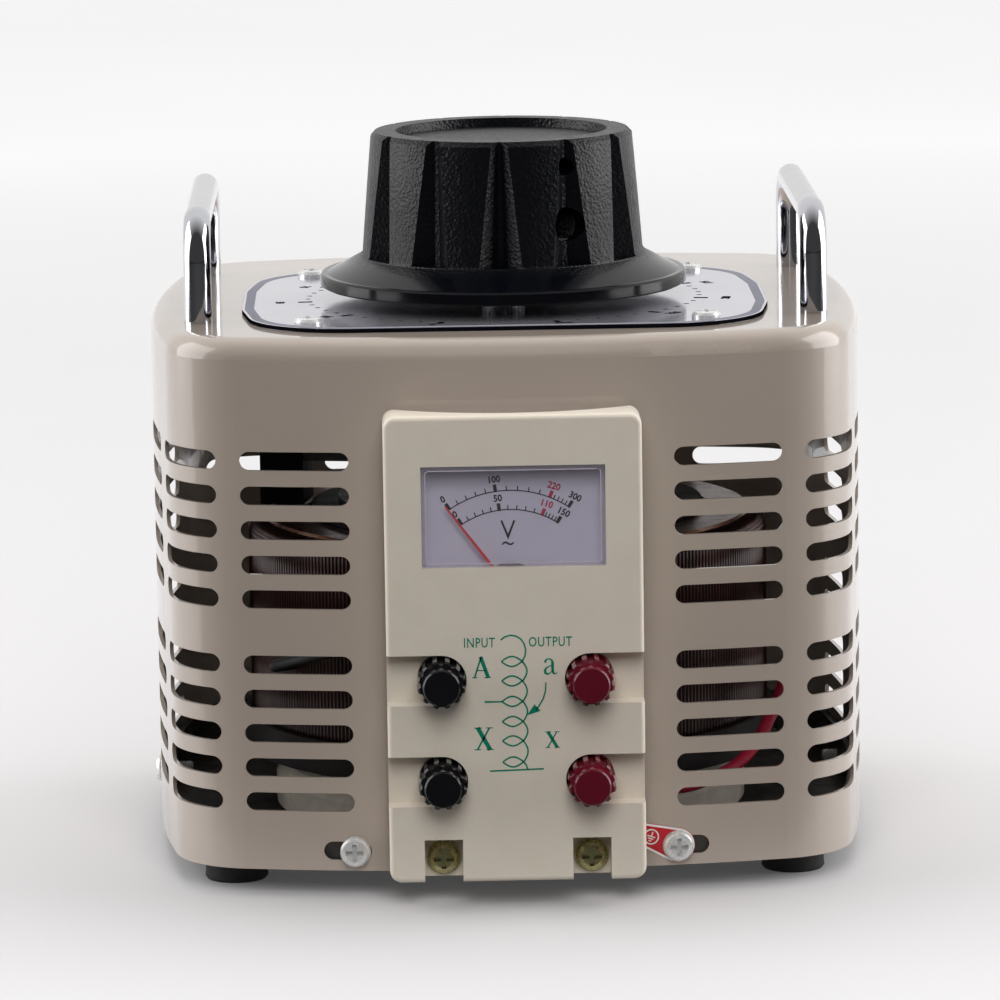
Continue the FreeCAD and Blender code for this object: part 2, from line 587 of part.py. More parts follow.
# contact leaf from the post to the collector ring, and the ring's terminal screw
leaf = keep(make_body("collector_leaf"))
leaf_points = [("-34", "-3.5"), ("-13.05", "-3.5"), ("-13.05", "3.5"), ("-34", "3.5")]
pad(leaf, "Strip", polygon(leaf, "StripProfile", "XY_Plane", leaf_points, at="133"), "0.8")
heel = polygon(leaf, "HeelProfile", "XY_Plane", box_points("-14.05", "-13.05", "-3.5", "3.5"), at="131")
pad(leaf, "Heel", heel, "2.8")
put(leaf, y="-axis_fwd", axis=(0, 0, 1), turned="stop_turned - 180")

# ---------------------------------------------------------------- rotor

shaft = keep(make_body("shaft"))
revolve(shaft, "Turned", [("0", "shaft_foot"), ("shaft_rad", "shaft_foot"), ("shaft_rad", "206"),
                          ("0", "206")])
put(shaft, y="-axis_fwd")
turned_part("shaft_clip", [("shaft_rad", "15.6"), ("8", "15.6"), ("8", "16.8"), ("shaft_rad", "16.8")])
turned_part("collector_ring", [("shaft_rad", "127"), ("13", "127"), ("13", "137"), ("shaft_rad", "137")])
collar = turned_part("knob_collar", [("shaft_rad", "165.4"), ("6.4", "165.4"), ("6.4", "171"),
                                     ("11.9", "171"), ("11.9", "196"), ("shaft_rad", "196")])
pocket(collar, "Knurl", circles(collar, "KnurlProfile", "XY_Plane", [("6.6", "0", "0.45")], at="163"), "7",
       backwards=True)
repeat_round(collar, "Knurls", [collar.Tip], 30)

arm = make_body("brush_arm")
revolve(arm, "Hub", [("shaft_rad", "113.2"), ("hub_rad", "113.2"), ("hub_rad", "127"), ("shaft_rad", "127")])
pad(arm, "Bar", polygon(arm, "BarProfile", "XY_Plane", box_points("9", "60", "-arm_half", "arm_half"),
                        at="arm_low"), "arm_high - arm_low")
fins = polygon(arm, "FinsProfile", "XY_Plane", box_points("22", "57", "-5", "5"), at="arm_high")
pad(arm, "Fins", fins, "4")
fin_gap = polygon(arm, "FinGapProfile", "XY_Plane", box_points("25", "28", "-9", "9"), at="arm_high + 4")
gap_cut = pocket(arm, "FinGap", fin_gap, "3.6")
row = add_feature(arm, "LinearPattern", "FinGaps", Originals=[gap_cut], Occurrences=5,
                  Direction=(origin_item(arm, "X_Axis"), [""]))
row.setExpression("Length", "26 mm")
arm.Tip = row
keep(put(arm, y="-axis_fwd", turned="arm_turned"))

holder = make_body("brush_box")
pad(holder, "Block", polygon(holder, "BlockProfile", "XY_Plane",
                             box_points("60", "73", "-8", "8"), at="101"), "22")
well = polygon(holder, "WellProfile", "XY_Plane",
               box_points("brush_ring - brush_half_r - 0.1", "brush_ring + brush_half_r + 0.1",
                          "-brush_half_t - 0.1", "brush_half_t + 0.1"), at="100")
pocket(holder, "Well", well, "21", backwards=True)
keep(put(holder, y="-axis_fwd", turned="arm_turned"))

brush = make_body("carbon_brush")
pad(brush, "Block", polygon(brush, "BlockProfile", "XY_Plane",
                            box_points("brush_ring - brush_half_r", "brush_ring + brush_half_r",
                                       "-brush_half_t", "brush_half_t"), at="track_high + 0.05"), "11")
keep(put(brush, y="-axis_fwd", turned="arm_turned"))
spring = make_body("brush_spring")
revolve(spring, "Coil", [("1.4", "track_high + 11.15"), ("2.4", "track_high + 11.15"), ("2.4", "120.9"),
                         ("1.4", "120.9")])
keep(put(spring, x="brush_ring * -0.98481", y="brush_ring * 0.17365 - axis_fwd"))

knob = make_body("knob")
revolve(knob, "Turned", [
    ("12", "knob_low + 2"), ("16", "knob_low + 2"), ("16", "203"), ("33", "203"), ("36.5", "knob_waist"),
    ("knob_rim - 3", "knob_low + 0.8"), ("knob_rim - 1", "knob_low"), ("knob_rim", "knob_low + 0.6"),
    ("knob_rim", "knob_low + 3.4"), ("knob_rim - 0.6", "knob_low + 4"), ("knob_cone", "knob_low + 4"),
    ("knob_foot + 0.6", "knob_waist"), ("knob_foot", "knob_waist + 0.8"), ("knob_head", "knob_high - 1.4"),
    ("knob_head - 1.3", "knob_high"), ("knob_dish + 0.6", "knob_high"), ("knob_dish", "knob_high - 2.6"),
    ("0", "knob_high - 2.6"), ("0", "206.2"), ("12", "206.2")])
cut_high = polygon(knob, "FluteTop", "XY_Plane", [("knob_head - 1.9", "-0.4"), ("knob_head + 6", "-9.0"),
                                                  ("knob_head + 6", "9.0"), ("knob_head - 1.9", "0.4")],
                   at="knob_high + 1")
cut_low = polygon(knob, "FluteFoot", "XY_Plane", [("knob_foot - 4.8", "-0.8"), ("knob_foot + 5", "-13.0"),
                                                  ("knob_foot + 5", "13.0"), ("knob_foot - 4.8", "0.8")],
                  at="knob_waist + 0.3")
flute = add_feature(knob, "SubtractiveLoft", "Flute", cut_high, Sections=[cut_low])
repeat_round(knob, "Flutes", [flute], 12)
for name, level, radius, start in (("PinLow", "knob_pin_low", "4.9", "11"),
                                   ("PinHigh", "knob_pin_high", "2.5", "31")):
    mark = circles(knob, name, "YZ_Plane", [("0", level, radius)], at=start)
    pocket(knob, name + "Cut", mark, "60", backwards=True)
knob_turn = "-90 + knob_turned"
keep(put(knob, y="-axis_fwd", turned=knob_turn))

pin = make_body("knob_set_screw")
revolve(pin, "Turned", [
    ("0", "12"), ("4.8", "12"), ("4.8", "22"), ("2.2", "22"), ("2.2", "18"), ("0", "18")])
sight = math.radians(SIZES["knob_turned"] - 90)
keep(put(pin, y="-axis_fwd", z="knob_pin_low", axis=(-math.sin(sight), math.cos(sight), 0), turned="90"))

# ---------------------------------------------------------------- terminal panel

panel = keep(make_body("terminal_panel"))
pad(panel, "Block", polygon(panel, "BlockProfile", "XZ_Plane",
                            box_points("-panel_half", "panel_half", "panel_low", "panel_high"),
                            at="panel_back"), "face - panel_back")
dress(panel, "Fillet", "Corners", along_y, "panel_round")
dress(panel, "Fillet", "FaceEdge", on_face, "1.4")
hollow = circles(panel, "Hollow", "XY_Plane", [("0", "panel_arc + panel_sag - panel_back - 2 * panel_sag",
                                                "panel_arc")], at="-5")
pocket(panel, "HollowCut", hollow, "170", backwards=True)
doc.recompute()
boss = open_sketch(panel, "Bosses", "XZ_Plane", at="hood_deep + 0.2")
add_polygon(boss, box_points("post_across - 6.3", "post_across + 6.3", "panel_low", "22"), "r")
add_polygon(boss, box_points("-post_across - 6.3", "-post_across + 6.3", "panel_low", "22"), "l")
pad(panel, "BossPads", boss, "9")
stud_bosses = [(f"{sx} * post_across", level, "5.2") for sx in (-1, 1) for level in
               ("post_upper", "post_lower")]
pad(panel, "StudBosses", circles(panel, "StudBossProfile", "XZ_Plane", stud_bosses, at="103.4"), "4")
meter_room = polygon(panel, "MeterRoom", "XZ_Plane", box_points("-30", "30", "79", "134"), at="face - 2.4")
pocket(panel, "MeterRoomCut", meter_room, "30")
view = polygon(panel, "View", "XZ_Plane", box_points("-view_half", "view_half", "view_low", "view_high"),
               at="face + 1")
pocket(panel, "ViewCut", view, "8")
for sx in (-1, 1):
    for k, level in enumerate(("post_upper", "post_lower")):
        inner, outer = f"{sx} * post_across", f"{sx} * (panel_half + 5)"
        channel = polygon(panel, f"Channel{k}{'AB'[sx > 0]}", "XZ_Plane",
                          box_points(inner, outer, f"{level} - channel_half", f"{level} + channel_half"),
                          at="face + 1")
        pocket(panel, channel.Name + "Cut", channel, "channel_deep + 1")
    notch = polygon(panel, f"Notch{'AB'[sx > 0]}", "XZ_Plane",
                    box_points(f"{sx} * post_across - notch_half", f"{sx} * post_across + notch_half",
                               "panel_low - 5", "notch_top"), at="face + 1")
    pocket(panel, notch.Name + "Cut", notch, "notch_deep + 1")
seats = [(f"{sx} * post_across", level, "channel_half") for sx in (-1, 1) for level in
         ("post_upper", "post_lower")]
pocket(panel, "SeatsCut", circles(panel, "Seats", "XZ_Plane", seats, at="face + 1"), "channel_deep + 1")
bores = [(f"{sx} * post_across", level, "2.45") for sx in (-1, 1) for level in ("post_upper", "post_lower")]
bores += [(f"{sx} * post_across", "fix_high + 0.2", "2.6") for sx in (-1, 1)]
pocket(panel, "BoresCut", circles(panel, "Bores", "XZ_Plane", bores, at="face + 1"), "40")

panel_spots = [dict(x=f"{sx} * post_across", z="fix_high + 0.2", **FRONT) for sx in (-1, 1)]
copies("panel_screws", screw_m5, [dict(y="-face + notch_deep - 1.0", **spot) for spot in panel_spots])
copies("panel_washers", washer_m5, [dict(y="-face + notch_deep", **spot) for spot in panel_spots])

# ---------------------------------------------------------------- meter

case = keep(make_body("meter_case"))
pad(case, "Block", polygon(case, "BlockProfile", "XZ_Plane", box_points("-29.5", "29.5", "79.5", "133.5"),
                           at="93.5"), "18.4")
pocket(case, "Inside", polygon(case, "InsideProfile", "XZ_Plane", box_points("-28", "28", "81", "132"),
                               at="113"), "18")
meter_dial = keep(make_body("meter_dial"))
pad(meter_dial, "Card", polygon(meter_dial, "CardProfile", "XZ_Plane",
                                box_points("-27.8", "27.8", "81.2", "131.8"), at="dial_face - 0.6"), "0.6")
pocket_through(meter_dial, "PivotCut", circles(meter_dial, "PivotHole", "XZ_Plane",
                                               [("-pivot_shift", "pivot_high", "1.6")]), both_ways=True)
window = keep(make_body("meter_window"))
pad(window, "Pane", polygon(window, "PaneProfile", "XZ_Plane",
                            box_points("-view_half + 0.1", "view_half - 0.1", "view_low + 0.1",
                                       "view_high - 0.1"), at="face - 1.9"), "1.6")
hub = keep(make_body("meter_hub"))
pad(hub, "Disc", circles(hub, "DiscProfile", "XZ_Plane", [("-pivot_shift", "pivot_high", "8.3")],
                         at="111.2"), "0.7")
pad(hub, "Stem", polygon(hub, "StemProfile", "XZ_Plane",
                         box_points("-pivot_shift - 6", "-pivot_shift + 6", "81.2", "88"), at="111.2"), "0.7")
turned_meter = make_body("meter_movement")
revolve(turned_meter, "Magnet", [("2", "95.2"), ("10", "95.2"), ("10", "105.5"), ("8", "106.7"),
                                 ("2", "106.7")])
keep(put(turned_meter, x="-pivot_shift", z="pivot_high", **FRONT))
spindle = make_body("needle_spindle")
revolve(spindle, "Turned", [("0", "95.6"), ("0.6", "95.6"), ("0.6", "111"), ("0", "111")])
keep(put(spindle, x="-pivot_shift", z="pivot_high", **FRONT))
needle = make_body("meter_needle")
needle_points = [("0.6", "-0.55"), ("pointer_long", "-0.25"), ("pointer_long + 0.6", "0"),
                 ("pointer_long", "0.25"), ("0.6", "0.55"), ("0.6", "1.6"), ("-0.6", "1.6"),
                 ("-5", "0.9"), ("-5", "-0.9"), ("-0.6", "-1.6"), ("0.6", "-1.6")]
pad(needle, "Blade", polygon(needle, "BladeProfile", "XZ_Plane", needle_points, at="-0.2"), "0.4")
pocket_through(needle, "Eye", circles(needle, "EyeProfile", "XZ_Plane", [("0", "0", "0.6")]), both_ways=True)
keep(put(needle, x="-pivot_shift", y="-pointer_face", z="pivot_high", axis=(0, -1, 0),
         turned="90 + pointer_turned"))
curl = make_body("hairspring")
turns = [(0.9 + 0.05 * k, 30.0 * k) for k in range(37)]
inner_side = [(f"{r:.3f} * cos({a} deg)", f"{r:.3f} * sin({a} deg)") for r, a in turns]
outer_side = [(f"{r + 0.2:.3f} * cos({a} deg)", f"{r + 0.2:.3f} * sin({a} deg)") for r, a in turns]
pad(curl, "Strip", polygon(curl, "StripProfile", "XZ_Plane", inner_side + outer_side[::-1]), "0.4")
keep(put(curl, x="-pivot_shift", y="-dial_face - 0.9", z="pivot_high"))

# ---------------------------------------------------------------- binding posts

FLOOR = "face - channel_deep"
stud = make_body("stud")
revolve(stud, "Turned", [("0", f"{FLOOR} - 14"), ("2.4", f"{FLOOR} - 14"), ("2.4", f"{FLOOR} + 16.3"),
                         ("0", f"{FLOOR} + 16.3")])
base_ring = washer("post_base", 2.45, 6.7, 2.4)
stud_nut = hex_nut("stud_nut", 8.0, 3.0, 2.4)
stud_lug = washer("stud_lug", 2.45, 4.5, 0.8)
spots = {(sx, k): dict(x=f"{sx} * post_across", z=level, **FRONT) for sx in (-1, 1)
         for k, level in enumerate(("post_upper", "post_lower"))}
copies("binding_studs", stud, list(spots.values()))
copies("post_bases_black", base_ring, [dict(y=f"-({FLOOR})", **spots[-1, k]) for k in (0, 1)])
copies("post_bases_red", base_ring, [dict(y=f"-({FLOOR})", **spots[1, k]) for k in (0, 1)])
back_nuts = add_copies("back_nuts", stud_nut, [dict(y=f"-({FLOOR}) + 7.6", **s) for s in spots.values()])
back_lugs = add_copies("back_lugs", stud_lug, [dict(y=f"-({FLOOR}) + 8.4", **s) for s in spots.values()])
together("stud_nuts_lugs", [back_nuts, back_lugs])
ring = washer("post_ring", 2.45, 5.6, 0.8)
cap = make_body("post_cap")
revolve(cap, "Turned", [("2.45", "0"), ("6.0", "0"), ("6.7", "0.7"), ("6.9", "1.6"), ("6.9", "9.6"),
                        ("6.4", "10.2"), ("5.4", "10.6"), ("5.3", "14.5"), ("4.9", "15"), ("0", "15"),
                        ("0", "13.2"), ("2.45", "13.2")])
tooth_gap = pocket(cap, "ToothGap", circles(cap, "ToothGapProfile", "XY_Plane", [("7.0", "0", "1.15")],
                                            at="-1"), "13", backwards=True)
repeat_round(cap, "ToothGaps", [tooth_gap], 12)
for (sx, k), spot in spots.items():
    name = {(-1, 0): "in_line", (-1, 1): "in_common", (1, 0): "out_line", (1, 1): "out_common"}[sx, k]
    copies(f"post_ring_{name}", ring, [dict(y=f"-({FLOOR}) - 2.45", **spot)])
    copies(f"post_cap_{name}", cap, [dict(y=f"-({FLOOR}) - 3.3", **spot)])

# earth tag behind the right front hood screw, pointing to the panel
tag = make_body("earth_tag")
pad(tag, "Disc", circles(tag, "DiscProfile", "XZ_Plane", [("0", "0", "5.0")]), "0.2")
pad(tag, "Taper", polygon(tag, "TaperProfile", "XZ_Plane", [("0", "-5"), ("0", "5"), ("-16", "2.6"),
                                                            ("-16", "-2.6")]), "0.2")
pocket_through(tag, "Eye", circles(tag, "EyeProfile", "XZ_Plane", [("0", "0", "2.2")]), both_ways=True)
keep(put(tag, x="fix_off", y=f"-{WALL_OUT.format(0.04)}", z="fix_high",
         **facing(((0, 1, 0), 20), ((0, 0, 1), LEAN))))

# ---------------------------------------------------------------- internal leads


def lead(label, thick, points):
    """A round lead: straight runs joined by tangent arcs, as large as their runs allow."""
    corners = [V(*point) for point in points]
    edges = []
    start = corners[0]
    for before, corner, after in zip(corners, corners[1:], corners[2:]):
        back, ahead = before - corner, after - corner
        reach = 0.45 * min(back.Length, ahead.Length)
        half = back.getAngle(ahead) / 2
        bend = reach * math.tan(half)
        back.normalize()
        ahead.normalize()
        inward = (back + ahead).normalize()
        enter, leave = corner + back * reach, corner + ahead * reach
        middle = corner + inward * (bend / math.sin(half) - bend)
        edges.append(Part.LineSegment(start, enter).toShape())
        edges.append(Part.Arc(enter, middle, leave).toShape())
        print(label, "bend", round(bend, 1))
        start = leave
    edges.append(Part.LineSegment(start, corners[-1]).toShape())
    route = Part.Wire(edges)
    ring = Part.Circle(corners[0], corners[1] - corners[0], thick / 2).toShape()
    item = doc.addObject("Part::Feature", label)
    item.Shape = route.makePipeShell([Part.Wire([ring])], True, False)
    swept = route.Length * math.pi * thick * thick / 4
    print(label, "volume", round(item.Shape.Volume), "of", round(swept))
    return item


px, high, low = SIZES["post_across"], SIZES["post_upper"], SIZES["post_lower"]
keep(lead("output_lead", 3.6, [
    (-31, -21.4, 135.9), (-24, -50, 140), (30, -60, 145), (81, -58, 138), (84.5, -60, 112), (84.5, -60, 74),
    (79, -63, 52), (68, -71, 32), (46, -86, 27), (30, -92.5, 35), (px, -96.5, 50), (px, -98.3, high - 6.6)]))
line_lead = lead("line_lead", 3.6, [(-px, -98.3, high + 6.6), (-27, -95, high + 11), (-53, -86, 70),
                                    (-70.5, -65.5, 62), (-63.4, -60.4, 62)])
return_lead = lead("return_lead", 3.6, [(-px, -98.3, low + 6.6), (-26, -95, 49), (-48.5, -87.3, 51),
                                        (-44.4, -79.5, 51)])
bridge_lead = lead("bridge_lead", 2.6, [(-15.2, -100, 36.8), (-8, -99, 33.5),
                                        (8, -99, 33.5), (15.2, -100, 36.8)])
together("input_leads", [line_lead, return_lead, bridge_lead])
upper_wire = lead("upper_wire", 1.6, [(10, -97, 79.4), (11, -96.6, 75), (16.2, -99.4, 71.2)])
lower_wire = lead("lower_wire", 1.6, [(4, -97, 79.4), (5, -95.5, 62), (8, -97, 48), (15.3, -99.6, 41.6)])
together("meter_leads", [upper_wire, lower_wire])
keep(lead("earth_lead", 2.4, [(46.0, -87.2, 13.9), (44.5, -83.5, 14.6), (39.8, -82.5, 16),
                              (35.2, -77.1, 17)]))


# ---------------------------------------------------------------- checks and export

doc.recompute()
faults = [item.Name for item in doc.Objects if {"Invalid", "Error"} & set(item.State)]
faults += [item.Label for item in exported if item.Shape.isNull() or not item.Shape.isValid()]
if faults:
    raise RuntimeError("these objects failed: " + ", ".join(faults))
os.makedirs("parts", exist_ok=True)
for item in exported:
    item.Shape.exportStep(f"parts/{item.Label}.step")
print(len(exported), "nodes")
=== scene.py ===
"""Looks of the bench autotransformer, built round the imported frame. Metres, +Z up, the panel faces -Y."""
import json
import math

import bpy
from mathutils import Matrix, Vector


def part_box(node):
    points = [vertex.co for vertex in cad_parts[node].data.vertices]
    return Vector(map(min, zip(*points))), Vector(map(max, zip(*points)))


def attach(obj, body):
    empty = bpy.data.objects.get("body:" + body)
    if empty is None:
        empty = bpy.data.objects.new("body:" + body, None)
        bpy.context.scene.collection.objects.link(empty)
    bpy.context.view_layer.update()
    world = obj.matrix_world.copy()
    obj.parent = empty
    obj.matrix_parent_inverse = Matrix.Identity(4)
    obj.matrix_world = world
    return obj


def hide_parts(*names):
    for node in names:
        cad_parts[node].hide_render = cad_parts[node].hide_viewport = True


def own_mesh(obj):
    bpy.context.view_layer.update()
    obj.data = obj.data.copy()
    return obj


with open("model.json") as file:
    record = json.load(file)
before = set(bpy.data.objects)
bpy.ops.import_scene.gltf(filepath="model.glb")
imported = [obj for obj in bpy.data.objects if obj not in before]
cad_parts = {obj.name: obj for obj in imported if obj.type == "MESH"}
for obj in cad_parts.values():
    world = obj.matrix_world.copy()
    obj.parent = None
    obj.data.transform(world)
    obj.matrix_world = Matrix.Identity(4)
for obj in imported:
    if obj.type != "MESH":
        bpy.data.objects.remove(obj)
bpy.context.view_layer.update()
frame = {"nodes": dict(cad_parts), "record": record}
nodes = frame["nodes"]
MM = 0.001

# the knob, in millimetres and degrees: its axis stands forward of the hood's middle
AXIS_FORWARD = 16.0
BORE_TURN = -62.0
BORES = ((188.0, 4.9), (204.8, 2.5))
GRIP_STARTS, GRIP_FULL = 173.5, 176.5
HOLLOW_RADIUS, HOLLOW_TOP = 35.5, 207.0


# ---------------------------------------------------------------- materials

def connect(tree, value, socket):
    """Links an output, or sets a plain value."""
    if isinstance(value, bpy.types.NodeSocket):
        tree.links.new(value, socket)
    else:
        socket.default_value = value


def place(tree, stretch=(1, 1, 1)):
    where = tree.nodes.new("ShaderNodeTexCoord").outputs["Object"]
    mapping = tree.nodes.new("ShaderNodeMapping")
    mapping.inputs["Scale"].default_value = stretch
    tree.links.new(where, mapping.inputs["Vector"])
    return mapping.outputs["Vector"]


def noise(tree, size_mm, detail=3.0, stretch=(1, 1, 1)):
    node = tree.nodes.new("ShaderNodeTexNoise")
    node.inputs["Scale"].default_value = 1000.0 / size_mm
    node.inputs["Detail"].default_value = detail
    tree.links.new(place(tree, stretch), node.inputs["Vector"])
    return node.outputs["Fac"]


def cells(tree, size_mm, feature="F1"):
    node = tree.nodes.new("ShaderNodeTexVoronoi")
    node.feature = feature
    node.inputs["Scale"].default_value = 1000.0 / size_mm
    tree.links.new(place(tree), node.inputs["Vector"])
    return node.outputs["Distance"]


def span(tree, value, low, high, to_low, to_high):
    node = tree.nodes.new("ShaderNodeMapRange")
    tree.links.new(value, node.inputs["Value"])
    for name, number in (("From Min", low), ("From Max", high), ("To Min", to_low), ("To Max", to_high)):
        node.inputs[name].default_value = number
    return node.outputs["Result"]


def tint(tree, factor, first, second):
    node = tree.nodes.new("ShaderNodeMix")
    node.data_type = "RGBA"
    connect(tree, factor, node.inputs[0])
    connect(tree, (*first, 1.0) if isinstance(first, tuple) else first, node.inputs[6])
    connect(tree, (*second, 1.0) if isinstance(second, tuple) else second, node.inputs[7])
    return node.outputs[2]


def vector_length(tree, vector):
    node = tree.nodes.new("ShaderNodeVectorMath")
    node.operation = "LENGTH"
    tree.links.new(vector, node.inputs[0])
    return node.outputs["Value"]


def opposite(tree, value):
    """1 where value is 0, and 0 where it is 1."""
    return span(tree, value, 0.0, 1.0, 1.0, 0.0)


def times(tree, first, second):
    node = tree.nodes.new("ShaderNodeMath")
    node.operation = "MULTIPLY"
    connect(tree, first, node.inputs[0])
    connect(tree, second, node.inputs[1])
    return node.outputs[0]


def height(tree):
    """How high a point stands in the object's own frame, in metres."""
    node = tree.nodes.new("ShaderNodeSeparateXYZ")
    tree.links.new(place(tree), node.inputs["Vector"])
    return node.outputs["Z"]


def bump(tree, shader, relief, depth_mm, strength=1.0):
    """Adds relief to the shader's normal, on top of any relief it has."""
    node = tree.nodes.new("ShaderNodeBump")
    node.inputs["Distance"].default_value = depth_mm * MM
    connect(tree, strength, node.inputs["Strength"])
    tree.links.new(relief, node.inputs["Height"])
    earlier = shader.inputs["Normal"].links
    if earlier:
        tree.links.new(earlier[0].from_socket, node.inputs["Normal"])
    tree.links.new(node.outputs["Normal"], shader.inputs["Normal"])


def finish(name, light, dark, rough, patch_mm=12.0, stretch=(1, 1, 1), **fixed):
    """A surface whose colour drifts between two tints and whose roughness drifts with it."""
    material = bpy.data.materials.new(name)
    material.use_nodes = True
    tree = material.node_tree
    shader = tree.nodes["Principled BSDF"]
    for socket, value in fixed.items():
        shader.inputs[socket.replace("_", " ").title().replace("Ior", "IOR")].default_value = value
    drift = span(tree, noise(tree, patch_mm, 4.0, stretch), 0.3, 0.7, 0.0, 1.0)
    tree.links.new(tint(tree, drift, light, dark), shader.inputs["Base Color"])
    tree.links.new(span(tree, drift, 0.0, 1.0, *rough), shader.inputs["Roughness"])
    return material, tree, shader


def enamel():
    material, tree, shader = finish("cream_enamel", (0.43, 0.365, 0.31), (0.40, 0.335, 0.285),
                                    (0.28, 0.36), 60.0, coat_weight=1.0, coat_roughness=0.05)
    bump(tree, shader, noise(tree, 2.4, 2.0), 0.010)
    bump(tree, shader, noise(tree, 0.4, 2.0), 0.0015)
    return material


def zinc():
    # far darker than bare zinc: painted shade, for the sheet sits in the dim inside of the case
    material, tree, shader = finish("zinc_sheet", (0.13, 0.12, 0.11), (0.08, 0.075, 0.07), (0.35, 0.55),
                                    8.0, metallic=0.8)
    bump(tree, shader, cells(tree, 5.0), 0.01)
    return material


def chrome():
    material, tree, shader = finish("chrome_rod", (0.72, 0.73, 0.76), (0.66, 0.67, 0.71), (0.04, 0.08),
                                    6.0, metallic=1.0)
    bump(tree, shader, noise(tree, 0.5, 2.0), 0.0006)
    return material


def bright_zinc():
    material, tree, shader = finish("bright_screw", (0.88, 0.88, 0.87), (0.72, 0.72, 0.72), (0.16, 0.32),
                                    1.2, metallic=0.5)
    bump(tree, shader, noise(tree, 0.35, 3.0), 0.006)
    return material


def yellow_zinc():
    material, tree, shader = finish("yellow_zinc", (0.62, 0.52, 0.24), (0.40, 0.44, 0.24), (0.2, 0.36),
                                    1.6, metallic=1.0)
    bump(tree, shader, noise(tree, 0.35, 3.0), 0.006)
    return material


def satin_plate():
    material, tree, shader = finish("dial_metal", (0.70, 0.69, 0.76), (0.64, 0.635, 0.71), (0.07, 0.13),
                                    30.0, metallic=0.8)
    bump(tree, shader, noise(tree, 14.0, 2.0), 0.01)
    return material


def outside_hollow(tree):
    """0 inside the hollow under the knob, 1 everywhere else."""
    middle = tree.nodes.new("ShaderNodeMapping")
    middle.inputs["Location"].default_value = (0, AXIS_FORWARD * MM, 0)
    middle.inputs["Scale"].default_value = (1, 1, 0)
    tree.links.new(place(tree), middle.inputs["Vector"])
    radius, top, soft = HOLLOW_RADIUS * MM, HOLLOW_TOP * MM, 0.8 * MM
    near = span(tree, vector_length(tree, middle.outputs["Vector"]), radius, radius + soft, 1.0, 0.0)
    return opposite(tree, times(tree, span(tree, height(tree), top, top + MM, 1.0, 0.0), near))


def outside_bore(tree, level, radius):
    """0 inside the knob's bore at this height, 1 everywhere else. Sizes in millimetres."""
    line = tree.nodes.new("ShaderNodeMapping")
    line.vector_type = "TEXTURE"
    line.inputs["Location"].default_value = (0, -AXIS_FORWARD * MM, level * MM)
    line.inputs["Rotation"].default_value = (0, 0, math.radians(BORE_TURN))
    tree.links.new(place(tree), line.inputs["Vector"])
    split = tree.nodes.new("ShaderNodeSeparateXYZ")
    tree.links.new(line.outputs["Vector"], split.inputs[0])
    across = tree.nodes.new("ShaderNodeCombineXYZ")
    tree.links.new(split.outputs["Y"], across.inputs["Y"])
    tree.links.new(split.outputs["Z"], across.inputs["Z"])
    spare = 0.05 * MM
    edge = radius * MM + spare
    near = span(tree, vector_length(tree, across.outputs[0]), edge, edge + spare, 1.0, 0.0)
    return opposite(tree, times(tree, near, span(tree, split.outputs["X"], 0.0, MM, 0.0, 1.0)))


def knob_plastic():
    """Pebbled on the grip, smooth and glossier on the skirt, and without shine in its bores and its hollow:
    painted shade there.
    """
    material, tree, shader = finish("black_knob", (0.0022, 0.0026, 0.0045), (0.0014, 0.0017, 0.0030),
                                    (0.36, 0.46), 3.0)
    skirt_rough, grip_extra = 0.13, (0.20, 0.28)
    grip = span(tree, height(tree), GRIP_STARTS * MM, GRIP_FULL * MM, 0.0, 1.0)
    outside = outside_hollow(tree)
    for level, radius in BORES:
        outside = times(tree, outside, outside_bore(tree, level, radius))
    extra = times(tree, grip, span(tree, noise(tree, 3.0), 0.3, 0.7, *grip_extra))
    total = tree.nodes.new("ShaderNodeMath")
    total.inputs[1].default_value = skirt_rough
    tree.links.new(extra, total.inputs[0])
    tree.links.new(total.outputs[0], shader.inputs["Roughness"])
    # no shine inside the bores and the hollow: painted shade in these recesses
    tree.links.new(times(tree, outside, 0.36), shader.inputs["Specular IOR Level"])
    pebbled = times(tree, grip, outside)
    bump(tree, shader, cells(tree, 0.85, "SMOOTH_F1"), 0.21, pebbled)
    bump(tree, shader, noise(tree, 0.5, 2.0), 0.05, times(tree, pebbled, 0.9))
    return material


def rubber():
    material, tree, shader = finish("foot_rubber", (0.012, 0.012, 0.012), (0.022, 0.022, 0.022),
                                    (0.7, 0.85), 3.0)
    bump(tree, shader, noise(tree, 0.4, 3.0), 0.02)
    return material


def moulded(name, light, dark, rough, grain=0.01, **fixed):
    material, tree, shader = finish(name, light, dark, rough, 9.0, **fixed)
    bump(tree, shader, noise(tree, 0.7, 3.0), grain)
    return material


def clear_cover():
    material, tree, shader = finish("clear_cover", (0.93, 0.91, 0.97), (0.90, 0.88, 0.95), (0.03, 0.07),
                                    10.0, alpha=0.035)
    bump(tree, shader, noise(tree, 9.0, 1.0), 0.02)
    return material


def turned_metal(name, light, dark):
    material, tree, shader = finish(name, light, dark, (0.22, 0.38), 2.0, metallic=1.0)
    bump(tree, shader, noise(tree, 0.3, 2.0), 0.006)
    return material


def cast_metal(name, light, dark):
    material, tree, shader = finish(name, light, dark, (0.42, 0.6), 4.0, metallic=0.9)
    bump(tree, shader, noise(tree, 0.9, 4.0), 0.05)
    return material


def copper(name, light, dark, rough):
    material, tree, shader = finish(name, light, dark, rough, 5.0, (1, 1, 0.2), metallic=0.85,
                                    coat_weight=0.5, coat_roughness=0.15)
    bump(tree, shader, noise(tree, 0.5, 3.0), 0.008)
    return material


